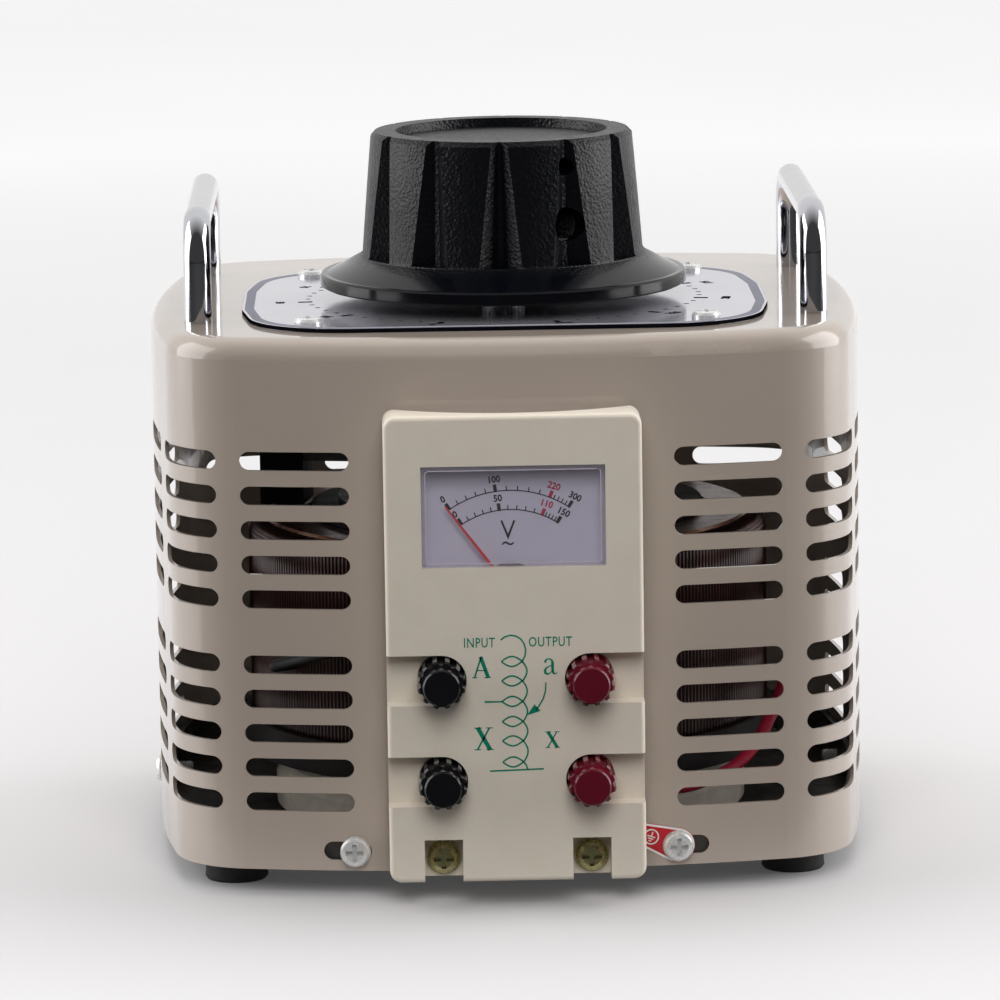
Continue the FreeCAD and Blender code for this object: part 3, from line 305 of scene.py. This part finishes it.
def striped_sleeve():
    """Green sleeve with a yellow stripe that winds along it."""
    material, tree, shader = finish("lead_earth", (0.10, 0.30, 0.05), (0.07, 0.24, 0.04), (0.4, 0.5), 6.0)
    wave = tree.nodes.new("ShaderNodeTexWave")
    wave.inputs["Scale"].default_value = 60.0
    tree.links.new(place(tree), wave.inputs["Vector"])
    stripe = span(tree, wave.outputs["Fac"], 0.55, 0.6, 0.0, 1.0)
    green = shader.inputs["Base Color"].links[0].from_socket
    tree.links.new(tint(tree, stripe, green, (0.62, 0.50, 0.05)), shader.inputs["Base Color"])
    return material


def pale_casting():
    """The base: cast, and painted light."""
    material, tree, shader = finish("pale_casting", (0.62, 0.56, 0.47), (0.50, 0.45, 0.38),
                                    (0.55, 0.7), 6.0, specular_ior_level=0.3)
    bump(tree, shader, noise(tree, 0.9, 4.0), 0.05)
    return material


def faint_plastic(name, light, dark, alpha):
    """The side walls of the meter's cover, hardly seen."""
    material, tree, shader = finish(name, light, dark, (0.3, 0.4), 9.0, alpha=alpha)
    bump(tree, shader, noise(tree, 0.7, 3.0), 0.004)
    return material


def ink(name, colour, worn):
    """Matt print, with no shine of its own."""
    material, tree, shader = finish(name, colour, worn, (0.8, 0.9), 0.8, specular_ior_level=0.0)
    bump(tree, shader, noise(tree, 0.25, 2.0), 0.001)
    return material


LOOKS = {
    "cream_paint": enamel(),
    "zinc_sheet": zinc(),
    "chrome_rod": chrome(),
    "bright_screw": bright_zinc(),
    "yellow_zinc": yellow_zinc(),
    "dial_metal": satin_plate(),
    "black_knob": knob_plastic(),
    "foot_rubber": rubber(),
    "cream_plastic": moulded("cream_plastic", (0.80, 0.725, 0.62), (0.77, 0.695, 0.59), (0.34, 0.42),
                             subsurface_weight=0.12, subsurface_scale=0.002),
    "clear_cover": clear_cover(),
    "meter_white": moulded("meter_white", (0.57, 0.535, 0.66), (0.545, 0.51, 0.635), (0.5, 0.6), 0.004),
    "meter_black": moulded("meter_black", (0.012, 0.009, 0.009), (0.02, 0.016, 0.016), (0.4, 0.5)),
    "needle_red": moulded("needle_red", (0.62, 0.02, 0.035), (0.52, 0.015, 0.03), (0.35, 0.45), 0.004),
    "spring_bronze": turned_metal("spring_bronze", (0.62, 0.40, 0.20), (0.50, 0.30, 0.15)),
    "copper_wire": copper("copper_wire", (0.040, 0.012, 0.009), (0.020, 0.007, 0.006), (0.34, 0.46)),
    "copper_track": copper("copper_track", (0.20, 0.085, 0.05), (0.13, 0.055, 0.03), (0.25, 0.4)),
    "core_steel": cast_metal("core_steel", (0.14, 0.14, 0.15), (0.08, 0.08, 0.09)),
    "phenolic": moulded("phenolic", (0.008, 0.006, 0.006), (0.014, 0.010, 0.009), (0.45, 0.6),
                        specular_ior_level=0.15),
    "cast_alloy": cast_metal("cast_alloy", (0.16, 0.155, 0.155), (0.10, 0.097, 0.097)),
    "plain_steel": turned_metal("plain_steel", (0.56, 0.56, 0.57), (0.42, 0.42, 0.43)),
    "brass_part": turned_metal("brass_part", (0.72, 0.52, 0.22), (0.58, 0.40, 0.16)),
    "carbon": moulded("carbon", (0.025, 0.025, 0.028), (0.04, 0.04, 0.044), (0.4, 0.55), 0.02),
    "post_black": moulded("post_black", (0.0030, 0.0030, 0.0048), (0.0045, 0.0045, 0.0065),
                          (0.16, 0.24), 0.006),
    "post_red": moulded("post_red", (0.135, 0.005, 0.017), (0.11, 0.004, 0.014), (0.16, 0.24), 0.006),
    "lead_red": moulded("lead_red", (0.42, 0.012, 0.045), (0.34, 0.010, 0.035), (0.35, 0.45)),
    "lead_black": moulded("lead_black", (0.012, 0.012, 0.013), (0.022, 0.022, 0.024), (0.4, 0.5)),
    "lead_earth": striped_sleeve(),
    "tag_print": moulded("tag_print", (0.50, 0.02, 0.03), (0.42, 0.018, 0.028), (0.3, 0.4), 0.004),
}
INKS = {
    "black": ink("ink_black", (0.0030, 0.0028, 0.0045), (0.0060, 0.0056, 0.0080)),
    "red": ink("ink_red", (0.45, 0.012, 0.05), (0.36, 0.012, 0.045)),
    "green": ink("ink_green", (0.008, 0.20, 0.12), (0.012, 0.25, 0.15)),
    "white": ink("ink_white", (0.82, 0.80, 0.78), (0.72, 0.70, 0.69)),
    # a light line on the clear cover's rim: painted highlight
    "rim": ink("cover_rim_highlight", (0.62, 0.56, 0.66), (0.56, 0.51, 0.61)),
    "wall": faint_plastic("cover_wall", (0.50, 0.45, 0.52), (0.46, 0.42, 0.49), 0.2),
    "grey": ink("ink_grey", (0.28, 0.28, 0.32), (0.24, 0.24, 0.28)),
}

OWN_LOOKS = {
    "base_casting": pale_casting(),
    "knob_collar": turned_metal("collar_steel", (0.42, 0.42, 0.43), (0.30, 0.30, 0.31)),
}

for part in frame["record"]["subparts"]:
    node = nodes[part["node"]]
    node.data.materials.clear()
    node.data.materials.append(OWN_LOOKS.get(part["node"], LOOKS[part["material_slot"]]))


# ---------------------------------------------------------------- making pieces

def piece(name, points, faces, material, body, smooth=False):
    mesh = bpy.data.meshes.new(name)
    mesh.from_pydata(points, [], faces)
    mesh.materials.append(material)
    if smooth:
        mesh.shade_smooth()
    item = bpy.data.objects.new(name, mesh)
    bpy.context.scene.collection.objects.link(item)
    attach(item, body)
    return item


class Print:
    """Thin raised marks on a face: drawn in millimetres on a flat sheet, then laid in place."""

    thick = 0.04

    def __init__(self):
        self.points, self.faces = [], []

    def stroke(self, path, widths):
        """A line along path. widths is one number, or one for each point."""
        path = [Vector(p) for p in path]
        if not isinstance(widths, (list, tuple)):
            widths = [widths] * len(path)
        start = len(self.points)
        for i, (point, width) in enumerate(zip(path, widths)):
            before = (point - path[i - 1]).normalized() if i else None
            after = (path[i + 1] - point).normalized() if i + 1 < len(path) else None
            along = ((before or after) + (after or before)).normalized()
            side = Vector((-along.y, along.x)) * width / 2
            if before is not None and after is not None:
                side /= max(0.4, along.dot(before))
            for edge in (point + side, point - side):
                for lift in (0.0, self.thick):
                    self.points.append(Vector((edge.x, edge.y, lift)))
        for i in range(len(path) - 1):
            a = start + 4 * i
            b = a + 4
            self.faces += [(a + 1, a + 3, b + 3, b + 1), (a, b, b + 2, a + 2), (a, a + 1, b + 1, b),
                           (a + 2, b + 2, b + 3, a + 3)]
        end = start + 4 * (len(path) - 1)
        self.faces += [(start, start + 2, start + 3, start + 1), (end, end + 1, end + 3, end + 2)]

    def patch(self, outline):
        """A filled convex outline."""
        start, count = len(self.points), len(outline)
        for lift in (0.0, self.thick):
            self.points += [Vector((x, y, lift)) for x, y in outline]
        self.faces.append(tuple(range(start + count, start + 2 * count)))
        self.faces.append(tuple(range(start + count - 1, start - 1, -1)))
        for i in range(count):
            j = (i + 1) % count
            self.faces.append((start + i, start + j, start + count + j, start + count + i))

    def words(self, text, high, lay, squeeze=1.0, spacing=1.0, bold=0.0):
        """Plain lettering, centred, with capitals this high."""
        curve = bpy.data.curves.new("words", "FONT")
        curve.body = text
        curve.size = high / 0.73
        curve.align_x = curve.align_y = "CENTER"
        curve.resolution_u = 3
        curve.space_character = spacing
        curve.extrude = self.thick / 2
        curve.offset = bold
        item = bpy.data.objects.new("words", curve)
        bpy.context.scene.collection.objects.link(item)
        graph = bpy.context.evaluated_depsgraph_get()
        mesh = bpy.data.meshes.new_from_object(item.evaluated_get(graph))
        start = len(self.points)
        raise_by = Matrix.Translation((0, 0, self.thick / 2)) @ Matrix.Diagonal((squeeze, 1, 1, 1))
        self.points += [lay @ raise_by @ v.co for v in mesh.vertices]
        self.faces += [tuple(start + i for i in f.vertices) for f in mesh.polygons]
        bpy.data.objects.remove(item)
        bpy.data.meshes.remove(mesh)
        bpy.data.curves.remove(curve)

    def lay_down(self, name, sheet, material):
        """sheet turns the flat drawing, in millimetres, into its place on the case."""
        return piece(name, [(sheet @ p) * MM for p in self.points], self.faces, material, "case")


def upright(y):
    """A sheet that faces -Y: the drawing's x goes right and its y goes up."""
    return Matrix(((1, 0, 0, 0), (0, 0, -1, y), (0, 1, 0, 0), (0, 0, 0, 1)))


def at(x, y, turned=0.0):
    return Matrix.Translation((x, y, 0)) @ Matrix.Rotation(math.radians(turned), 4, "Z")


def arc(x, y, radius, first, last, steps=24):
    """Points on an arc. Angles in degrees, clockwise from straight up."""
    angles = [math.radians(first + (last - first) * i / steps) for i in range(steps + 1)]
    return [(x + radius * math.sin(a), y + radius * math.cos(a)) for a in angles]


def between(a, b, count):
    """The points that cut the way from a to b into count equal shares, ends left out."""
    return [a + (b - a) * i / count for i in range(1, count)]


# ---------------------------------------------------------------- winding

low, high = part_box("winding")
FORWARD = (low.y + high.y) / 2
COIL_OUTER, COIL_INNER, COIL_CORNER = (high.x - low.x) / 2, 30 * MM, 4 * MM
TURNS, WIRE_DIP = 340, 0.5 * MM


def coil_section(bottom, top):
    """The wound ring's round-cornered outline: each corner's centre and the way out from it."""
    section = []
    outer, inner = COIL_OUTER - COIL_CORNER, COIL_INNER + COIL_CORNER
    for x, z, first in ((outer, top - COIL_CORNER, 0), (inner, top - COIL_CORNER, 90),
                        (inner, bottom + COIL_CORNER, 180), (outer, bottom + COIL_CORNER, 270)):
        for i in range(4):
            a = math.radians(first + 30 * i)
            section.append((x, z, math.cos(a), math.sin(a)))
    return section


def wound_ring(name, bottom, top):
    """A ring wrapped in round wire: every turn stands out from its neighbours."""
    section = coil_section(bottom, top)
    dips = (0.0, 0.35, 1.0, 0.35)
    points, faces = [], []
    columns, size = TURNS * len(dips), len(section)
    for j in range(columns):
        turn = 2 * math.pi * j / columns
        reach = COIL_CORNER - WIRE_DIP * dips[j % len(dips)]
        for x, z, out_x, out_z in section:
            r = x + out_x * reach
            points.append((r * math.cos(turn), FORWARD + r * math.sin(turn), z + out_z * reach))
    for j in range(columns):
        k = (j + 1) % columns
        for i in range(size):
            n = (i + 1) % size
            faces.append((j * size + i, k * size + i, k * size + n, j * size + n))
    return piece(name, points, faces, LOOKS["copper_wire"], "case", smooth=True)


coil = wound_ring("winding_turns", low.z, high.z)
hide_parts("winding")

# ---------------------------------------------------------------- brush spring

def coil_spring(name, low, high, wire, turns):
    """A round-wire spring that fills the box from low to high."""
    middle = (low + high) / 2
    radius = (high.x - low.x) / 2 - wire / 2
    steps, sides = 24 * turns, 8
    rise = (high.z - low.z - wire) / steps
    points = []
    for i in range(steps + 1):
        turn = 2 * math.pi * turns * i / steps
        outward = Vector((math.cos(turn), math.sin(turn), 0))
        centre = Vector((middle.x, middle.y, low.z + wire / 2 + rise * i)) + outward * radius
        for j in range(sides):
            a = 2 * math.pi * j / sides
            points.append(centre + (outward * math.cos(a) + Vector((0, 0, math.sin(a)))) * wire / 2)
    faces = [tuple(range(sides)), tuple(range(len(points) - 1, len(points) - sides - 1, -1))]
    for i in range(0, steps * sides, sides):
        for j in range(sides):
            k = (j + 1) % sides
            faces.append((i + k, i + j, i + sides + j, i + sides + k))
    return piece(name, points, faces, LOOKS["spring_bronze"], "rotor", smooth=True)


low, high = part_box("brush_spring")
BRUSH_TRAVEL, SPRING_WIRE, SPRING_TURNS = 3 * MM, 0.6 * MM, 6
spring = coil_spring("brush_spring_coil", low, high, SPRING_WIRE, SPRING_TURNS)
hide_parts("brush_spring")
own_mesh(spring)

# ---------------------------------------------------------------- prints

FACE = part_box("terminal_panel")[0].y / MM
front = upright(FACE + 0.005)
coil_print = Print()
LINE = 0.46
TIP, CROSSING = -4.0, 1.9
levels = (71.9, 66.3, 60.4, 54.6, 49.0, 42.9)


def bowed(a, b, sag, steps=10):
    """A shallow arc from a to b that stands off the straight line by sag, to its left."""
    a, b = Vector(a), Vector(b)
    side = Vector((a.y - b.y, b.x - a.x)).normalized()
    shares = [t / steps for t in range(steps + 1)]
    return [tuple(a.lerp(b, share) + side * sag * math.sin(math.pi * share)) for share in shares]


hook = [(-4.1, 78.1), (-3.0, 79.0), (-1.4, 79.45), (0.2, 79.2), (1.6, 78.3), (2.5, 76.9), (2.9, 75.3),
        (2.75, 73.6), (CROSSING, levels[0])]
coil_print.stroke(hook, LINE)
for i, level in enumerate(levels):
    coil_print.stroke(bowed((CROSSING, level), (TIP, level), 1.45), LINE)
    coil_print.stroke(bowed((TIP, level), (CROSSING, level), 1.45), LINE)
    if i + 1 < len(levels):
        coil_print.stroke(bowed((CROSSING, level), (CROSSING + 0.1, levels[i + 1]), 1.25), LINE)
coil_print.stroke([(CROSSING, levels[-1]), (2.6, 42.0), (3.1, 40.6)], LINE)
coil_print.stroke([(-7.7, 40.35), (7.6, 40.75)], LINE)
coil_print.stroke([(-8.9, 60.35), (TIP, 60.35)], [0.55, 0.42])
coil_print.stroke([(8.5, 65.7), (8.4, 63.4), (7.7, 61.0), (6.4, 58.8), (5.5, 57.9)],
                  [0.4, 0.42, 0.45, 0.45, 0.4])
coil_print.patch([(3.05, 56.3), (6.9, 57.5), (5.2, 59.5)])

LETTER_A = [([(0.12, 0.0), (0.49, 1.0)], 0.09), ([(0.46, 1.0), (0.86, 0.0)], 0.20),
            ([(0.24, 0.35), (0.74, 0.35)], 0.06), ([(0.0, 0.02), (0.27, 0.02)], 0.05),
            ([(0.64, 0.02), (1.0, 0.02)], 0.05)]
LETTER_X = [([(0.18, 1.0), (0.82, 0.0)], 0.22), ([(0.80, 1.0), (0.15, 0.0)], 0.09),
            ([(0.0, 0.98), (0.40, 0.98)], 0.05), ([(0.62, 0.98), (0.97, 0.98)], 0.05),
            ([(0.0, 0.02), (0.33, 0.02)], 0.05), ([(0.62, 0.02), (1.0, 0.02)], 0.05)]
SMALL_A = [([(0.14, 0.74), (0.17, 0.87), (0.30, 0.96), (0.47, 0.97), (0.60, 0.88), (0.65, 0.72),
             (0.65, 0.28), (0.70, 0.10), (0.82, 0.05), (0.97, 0.13)],
            [0.17, 0.14, 0.09, 0.09, 0.14, 0.19, 0.19, 0.15, 0.08, 0.04]),
           ([(0.64, 0.58), (0.44, 0.52), (0.22, 0.42), (0.12, 0.27), (0.15, 0.11), (0.30, 0.04),
             (0.47, 0.10), (0.64, 0.26)],
            [0.05, 0.07, 0.12, 0.17, 0.17, 0.12, 0.07, 0.05])]
for strokes, x, z, wide, tall in ((LETTER_A, -12.3, 67.3, 5.3, 6.1), (LETTER_X, -12.0, 46.5, 5.5, 6.5),
                                  (SMALL_A, 7.8, 67.9, 4.1, 4.7), (LETTER_X, 8.1, 46.8, 4.2, 4.7)):
    for path, width in strokes:
        thick = [w * wide for w in width] if isinstance(width, list) else width * wide
        coil_print.stroke([(x + u * wide, z + v * tall) for u, v in path], thick)
coil_print.words("INPUT", 2.9, at(-10.2, 77.3), 0.74, 1.1, 0.03)
coil_print.words("OUTPUT", 2.9, at(9.9, 77.3), 0.74, 1.1, 0.03)
coil_print.lay_down("panel_print", front, INKS["green"])

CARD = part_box("meter_dial")[0].y / MM
card = upright(CARD + 0.005)
PIVOT_X, PIVOT_Z = -0.9, 89.5
black_marks, red_marks = Print(), Print()
SCALE_LINE, SMALL_TICK, BIG_TICK, BIG_TICK_WIDE = 0.32, 1.3, 2.2, 1.0
LABEL_OUT, LABEL_HIGH, LABEL_LEAN = 3.4, 1.95, 0.8
# radius, angles of the labelled ticks, labels
SCALES = ((30.3, (-34.0, -7.5, 22.0, 33.4), ("0", "100", "220", "300")),
          (24.8, (-33.3, -6.8, 21.7, 32.7), ("0", "50", "110", "150")))


def on_scale(radius, angle):
    """A point round the needle's pivot. Angle clockwise from straight up."""
    a = math.radians(angle)
    return (PIVOT_X + radius * math.sin(a), PIVOT_Z + radius * math.cos(a))


def tick(marks, radius, angle, long, wide):
    marks.stroke([on_scale(radius, angle), on_scale(radius + long, angle)], wide)


for radius, majors, labels in SCALES:
    black_marks.stroke(arc(PIVOT_X, PIVOT_Z, radius, majors[0], majors[-1], 36), SCALE_LINE)
    for first, last in zip(majors, majors[1:]):
        for angle in between(first, last, 5):
            tick(black_marks, radius, angle, SMALL_TICK, SCALE_LINE)
    for angle, label in zip(majors, labels):
        marks = red_marks if label in ("220", "110") else black_marks
        tick(marks, radius - 0.2, angle, BIG_TICK, BIG_TICK_WIDE)
        x, z = on_scale(radius + LABEL_OUT, angle)
        marks.words(label, LABEL_HIGH, at(x, z, -angle * LABEL_LEAN), 0.92, 1.0, 0.09)
black_marks.stroke([(-3.3, 111.2), (-1.45, 106.5), (0.4, 111.2)], [0.55, 0.7, 0.55])
wave_line = [(-3.2, 104.2), (-2.7, 104.8), (-2.0, 104.9), (-1.2, 104.4), (-0.5, 104.3), (0.2, 104.9)]
black_marks.stroke(wave_line, [0.3, 0.5, 0.55, 0.55, 0.5, 0.3])
black_marks.lay_down("meter_scale_black", card, INKS["black"])
red_marks.lay_down("meter_scale_red", card, INKS["red"])

# the clear cover's moulded rim: its side walls drawn faint, and a light line inside them, a painted
# highlight on the rim's edge
cover_low, cover_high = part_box("meter_window")
COVER = upright(cover_low.y / MM + 0.03)


def frame_path(inset, corner):
    """A closed rounded rectangle inside the cover's edge."""
    left, right = cover_low.x / MM + inset + corner, cover_high.x / MM - inset - corner
    bottom, roof = cover_low.z / MM + inset + corner, cover_high.z / MM - inset - corner
    path = []
    for x, z, first in ((right, roof, 0), (right, bottom, 90), (left, bottom, 180), (left, roof, 270)):
        path += arc(x, z, corner, first, first + 90, 6)
    return path + path[:2]


for name, inset, corner, wide, colour in (("cover_wall", 0.55, 0.3, 0.95, "wall"),
                                          ("cover_rim_highlight", 1.15, 1.0, 0.28, "rim")):
    rim = Print()
    rim.stroke(frame_path(inset, corner), wide)
    rim.lay_down(name, COVER, INKS[colour])

# the earth tag's border and sign
TAG_X, TAG_Y, TAG_Z, TAG_LEAN, TAG_TURN = 46.2, -95.956, 13.7, 7.17, 20.0
tag_sheet = (Matrix.Translation((TAG_X, TAG_Y, TAG_Z)) @ Matrix.Rotation(math.radians(TAG_LEAN), 4, "Z")
             @ Matrix.Rotation(math.radians(TAG_TURN), 4, "Y") @ upright(-0.205))
SIGN_X = -8.2
tag = Print()
tag.stroke([(-15.8, 2.15), (-0.6, 4.6)] + arc(0, 0, 4.6, 8, 172, 18) + [(-0.6, -4.6), (-15.8, -2.15)], 0.6)
tag.stroke(arc(SIGN_X, 0, 2.1, 0, 375, 30), 0.4)
tag.stroke([(SIGN_X, 1.5), (SIGN_X, 0.1)], 0.35)
for reach, y in ((1.2, 0.1), (0.8, -0.55), (0.4, -1.2)):
    tag.stroke([(SIGN_X - reach, y), (SIGN_X + reach, y)], 0.33)
tag.lay_down("earth_tag_print", tag_sheet, INKS["white"])

# ---------------------------------------------------------------- dial plate scale

plate_low, plate_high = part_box("dial_plate")
PLATE = Matrix.Translation((0, FORWARD / MM, plate_high.z / MM + 0.005))
dial = Print()
FIRST, LAST, STEPS, SMALL_STEPS = 199.0, 526.0, 10, 5
VOLTS_A_STEP = 25


def ray(angle, across, along):
    """A point on an oval round the shaft. Angle clockwise from the rear, seen from above."""
    a = math.radians(angle)
    return (across * math.sin(a), along * math.cos(a))


STEP = (LAST - FIRST) / STEPS
for i in range(STEPS + 1):
    angle = FIRST + STEP * i
    dial.stroke([ray(angle, 56.8, 56.8), ray(angle, 61.0, 60.6)], 1.7)
    x, y = ray(angle, 66.5, 62.3)
    dial.words(str(VOLTS_A_STEP * i), 2.6, at(x, y, 180 - angle), 1.0, 1.0, 0.12)
    if i < STEPS:
        for small in between(angle, angle + STEP, SMALL_STEPS):
            dial.stroke([ray(small, 57.2, 57.2), ray(small, 58.6, 58.6)], 0.7)
dial.lay_down("dial_scale", PLATE, INKS["black"])

BOLT_X, BOLT_Y, BOLT_CLEAR = 57.3 * MM, 53.4 * MM, 4 * MM
RIM_FROM = 60 * MM
BORDER_FROM, BORDER_TO = 0.8, 3.6


def on_rim(p):
    """True for a point of the plate's outer edge, not of its shaft hole or bolt holes."""
    x, y = abs(p.x), abs(p.y - FORWARD)
    on_top = p.z > plate_high.z - 0.01 * MM
    return on_top and math.hypot(x, y) > RIM_FROM and math.hypot(x - BOLT_X, y - BOLT_Y) > BOLT_CLEAR


def closed_band(name, columns, material):
    """A closed loop with a flat section. Each column holds the section there: four corners, as two pairs."""
    points, faces = [], []
    for i, column in enumerate(columns):
        points += column
        a, b = 4 * i, 4 * ((i + 1) % len(columns))
        faces += [(a + 1, b + 1, b + 3, a + 3), (a, a + 2, b + 2, b), (a, b, b + 1, a + 1),
                  (a + 2, a + 3, b + 3, b + 2)]
    return piece(name, points, faces, material, "case")


rim_points = {(round(v.co.x, 6), round(v.co.y - FORWARD, 6))
              for v in nodes["dial_plate"].data.vertices if on_rim(v.co)}
border, edge = [], []
for x, y in sorted(rim_points, key=lambda p: math.atan2(p[1], p[0])):
    out = Vector((x, y)).normalized() * MM
    border.append([(x - out.x * step, FORWARD + (y - out.y * step), plate_high.z + lift * MM)
                   for step in (BORDER_FROM, BORDER_TO) for lift in (0.005, 0.045)])
    # a black band just outside the plate's outer edge and down its side: painted shade at the edge
    edge.append([(x + out.x * step, FORWARD + y + out.y * step, z)
                 for z in (plate_low.z + 0.02 * MM, plate_high.z - 0.02 * MM) for step in (0, 0.03)])
closed_band("dial_border", border, INKS["grey"])
# painted shade: the black band over the plate's outer edge
closed_band("dial_edge_painted_shade", edge, INKS["black"])

# ---------------------------------------------------------------- stage, light and camera

# what the camera and the lights point at: the middle of the hood
AIM = Vector((0, 0, 0.1))


def sheet_floor():
    size = 9.0
    corners = [(-size, -size, 0), (size, -size, 0), (size, size, 0), (-size, size, 0)]
    mesh = bpy.data.meshes.new("floor")
    mesh.from_pydata(corners, [], [(0, 1, 2, 3)])
    floor = bpy.data.objects.new("floor", mesh)
    bpy.context.scene.collection.objects.link(floor)
    material, tree, shader = finish("floor_paper", (0.64, 0.63, 0.635), (0.63, 0.62, 0.625),
                                    (0.5, 0.6), 400.0, specular_ior_level=0.08)
    # painted light: the paper glows more and more with distance from the object, as a lit sweep does, and is
    # dimmest round the object, a painted shade under it
    painted_glow = span(tree, vector_length(tree, place(tree)), 0.13, 1.9, 0.05, 0.58)
    shader.inputs["Emission Color"].default_value = (1, 1, 1, 1)
    tree.links.new(painted_glow, shader.inputs["Emission Strength"])
    # in front of the object the paper is dark grey to every ray but the camera's: painted shade, seen in its
    # reflections and in the light it bounces
    shade = tree.nodes.new("ShaderNodeBsdfDiffuse")
    shade.inputs["Color"].default_value = (0.05, 0.05, 0.05, 1)
    split = tree.nodes.new("ShaderNodeSeparateXYZ")
    tree.links.new(place(tree), split.inputs[0])
    painted_shade_ahead = span(tree, split.outputs["Y"], -0.10, -0.16, 0.0, 1.0)
    unseen = opposite(tree, tree.nodes.new("ShaderNodeLightPath").outputs["Is Camera Ray"])
    either = tree.nodes.new("ShaderNodeMixShader")
    tree.links.new(times(tree, painted_shade_ahead, unseen), either.inputs[0])
    tree.links.new(shader.outputs[0], either.inputs[1])
    tree.links.new(shade.outputs[0], either.inputs[2])
    tree.links.new(either.outputs[0], tree.nodes["Material Output"].inputs["Surface"])
    mesh.materials.append(material)


def softbox(name, where, wide, tall, radiance, mirrored=True):
    light = bpy.data.lights.new(name, "AREA")
    light.shape = "RECTANGLE"
    light.size, light.size_y = wide, tall
    light.energy = radiance * math.pi * wide * tall
    item = bpy.data.objects.new(name, light)
    item.location = where
    item.rotation_euler = (Vector(where) - AIM).to_track_quat("Z", "Y").to_euler()
    item.visible_camera = False
    item.visible_glossy = mirrored
    bpy.context.scene.collection.objects.link(item)


def surroundings():
    """White behind and above, dark in front, and plain white where the camera looks past the floor."""
    world = bpy.data.worlds.new("studio")
    world.use_nodes = True
    tree = world.node_tree
    output = tree.nodes["World Output"]
    split = tree.nodes.new("ShaderNodeSeparateXYZ")
    tree.links.new(tree.nodes.new("ShaderNodeTexCoord").outputs["Generated"], split.inputs[0])
    seen, felt = tree.nodes.new("ShaderNodeBackground"), tree.nodes["Background"]
    seen.inputs["Color"].default_value = (0.96, 0.96, 0.965, 1)
    felt.inputs["Color"].default_value = (1.0, 0.99, 0.985, 1)
    tree.links.new(span(tree, split.outputs["Y"], -0.45, 0.45, 0.05, 0.8), felt.inputs["Strength"])
    either = tree.nodes.new("ShaderNodeMixShader")
    tree.links.new(tree.nodes.new("ShaderNodeLightPath").outputs["Is Camera Ray"], either.inputs[0])
    tree.links.new(felt.outputs[0], either.inputs[1])
    tree.links.new(seen.outputs[0], either.inputs[2])
    tree.links.new(either.outputs[0], output.inputs["Surface"])
    bpy.context.scene.world = world


def photographer():
    """Stands 1.84 m away, 9.5 degrees above the middle of the hood, a touch to the left."""
    away, above, left, tilt = 1.837, math.radians(9.495), math.radians(1.073), math.radians(0.844)
    back = Vector((-math.sin(left) * math.cos(above), -math.cos(left) * math.cos(above), math.sin(above)))
    data = bpy.data.cameras.new("camera")
    data.sensor_width = 36.0
    data.lens = 220.15
    data.shift_x, data.shift_y = -0.0055, -0.0033
    data.clip_end = 100.0
    camera = bpy.data.objects.new("camera", data)
    turn = (-back).to_track_quat("-Z", "Y").to_matrix().to_4x4()
    camera.matrix_world = Matrix.Translation(AIM + back * away) @ turn @ Matrix.Rotation(-tilt, 4, "Z")
    bpy.context.scene.collection.objects.link(camera)
    bpy.context.scene.camera = camera


sheet_floor()
surroundings()
softbox("left_box", (-1.15, 0.0, 0.55), 1.1, 1.2, 2.4)
softbox("right_box", (1.15, 0.0, 0.55), 1.1, 1.2, 2.9)
softbox("top_box", (0.0, 0.25, 1.4), 1.2, 0.9, 1.6, mirrored=False)
softbox("front_fill", (0.0, -1.6, 1.2), 1.0, 1.0, 5.3, mirrored=False)
photographer()
bpy.context.scene.view_settings.view_transform = "Standard"
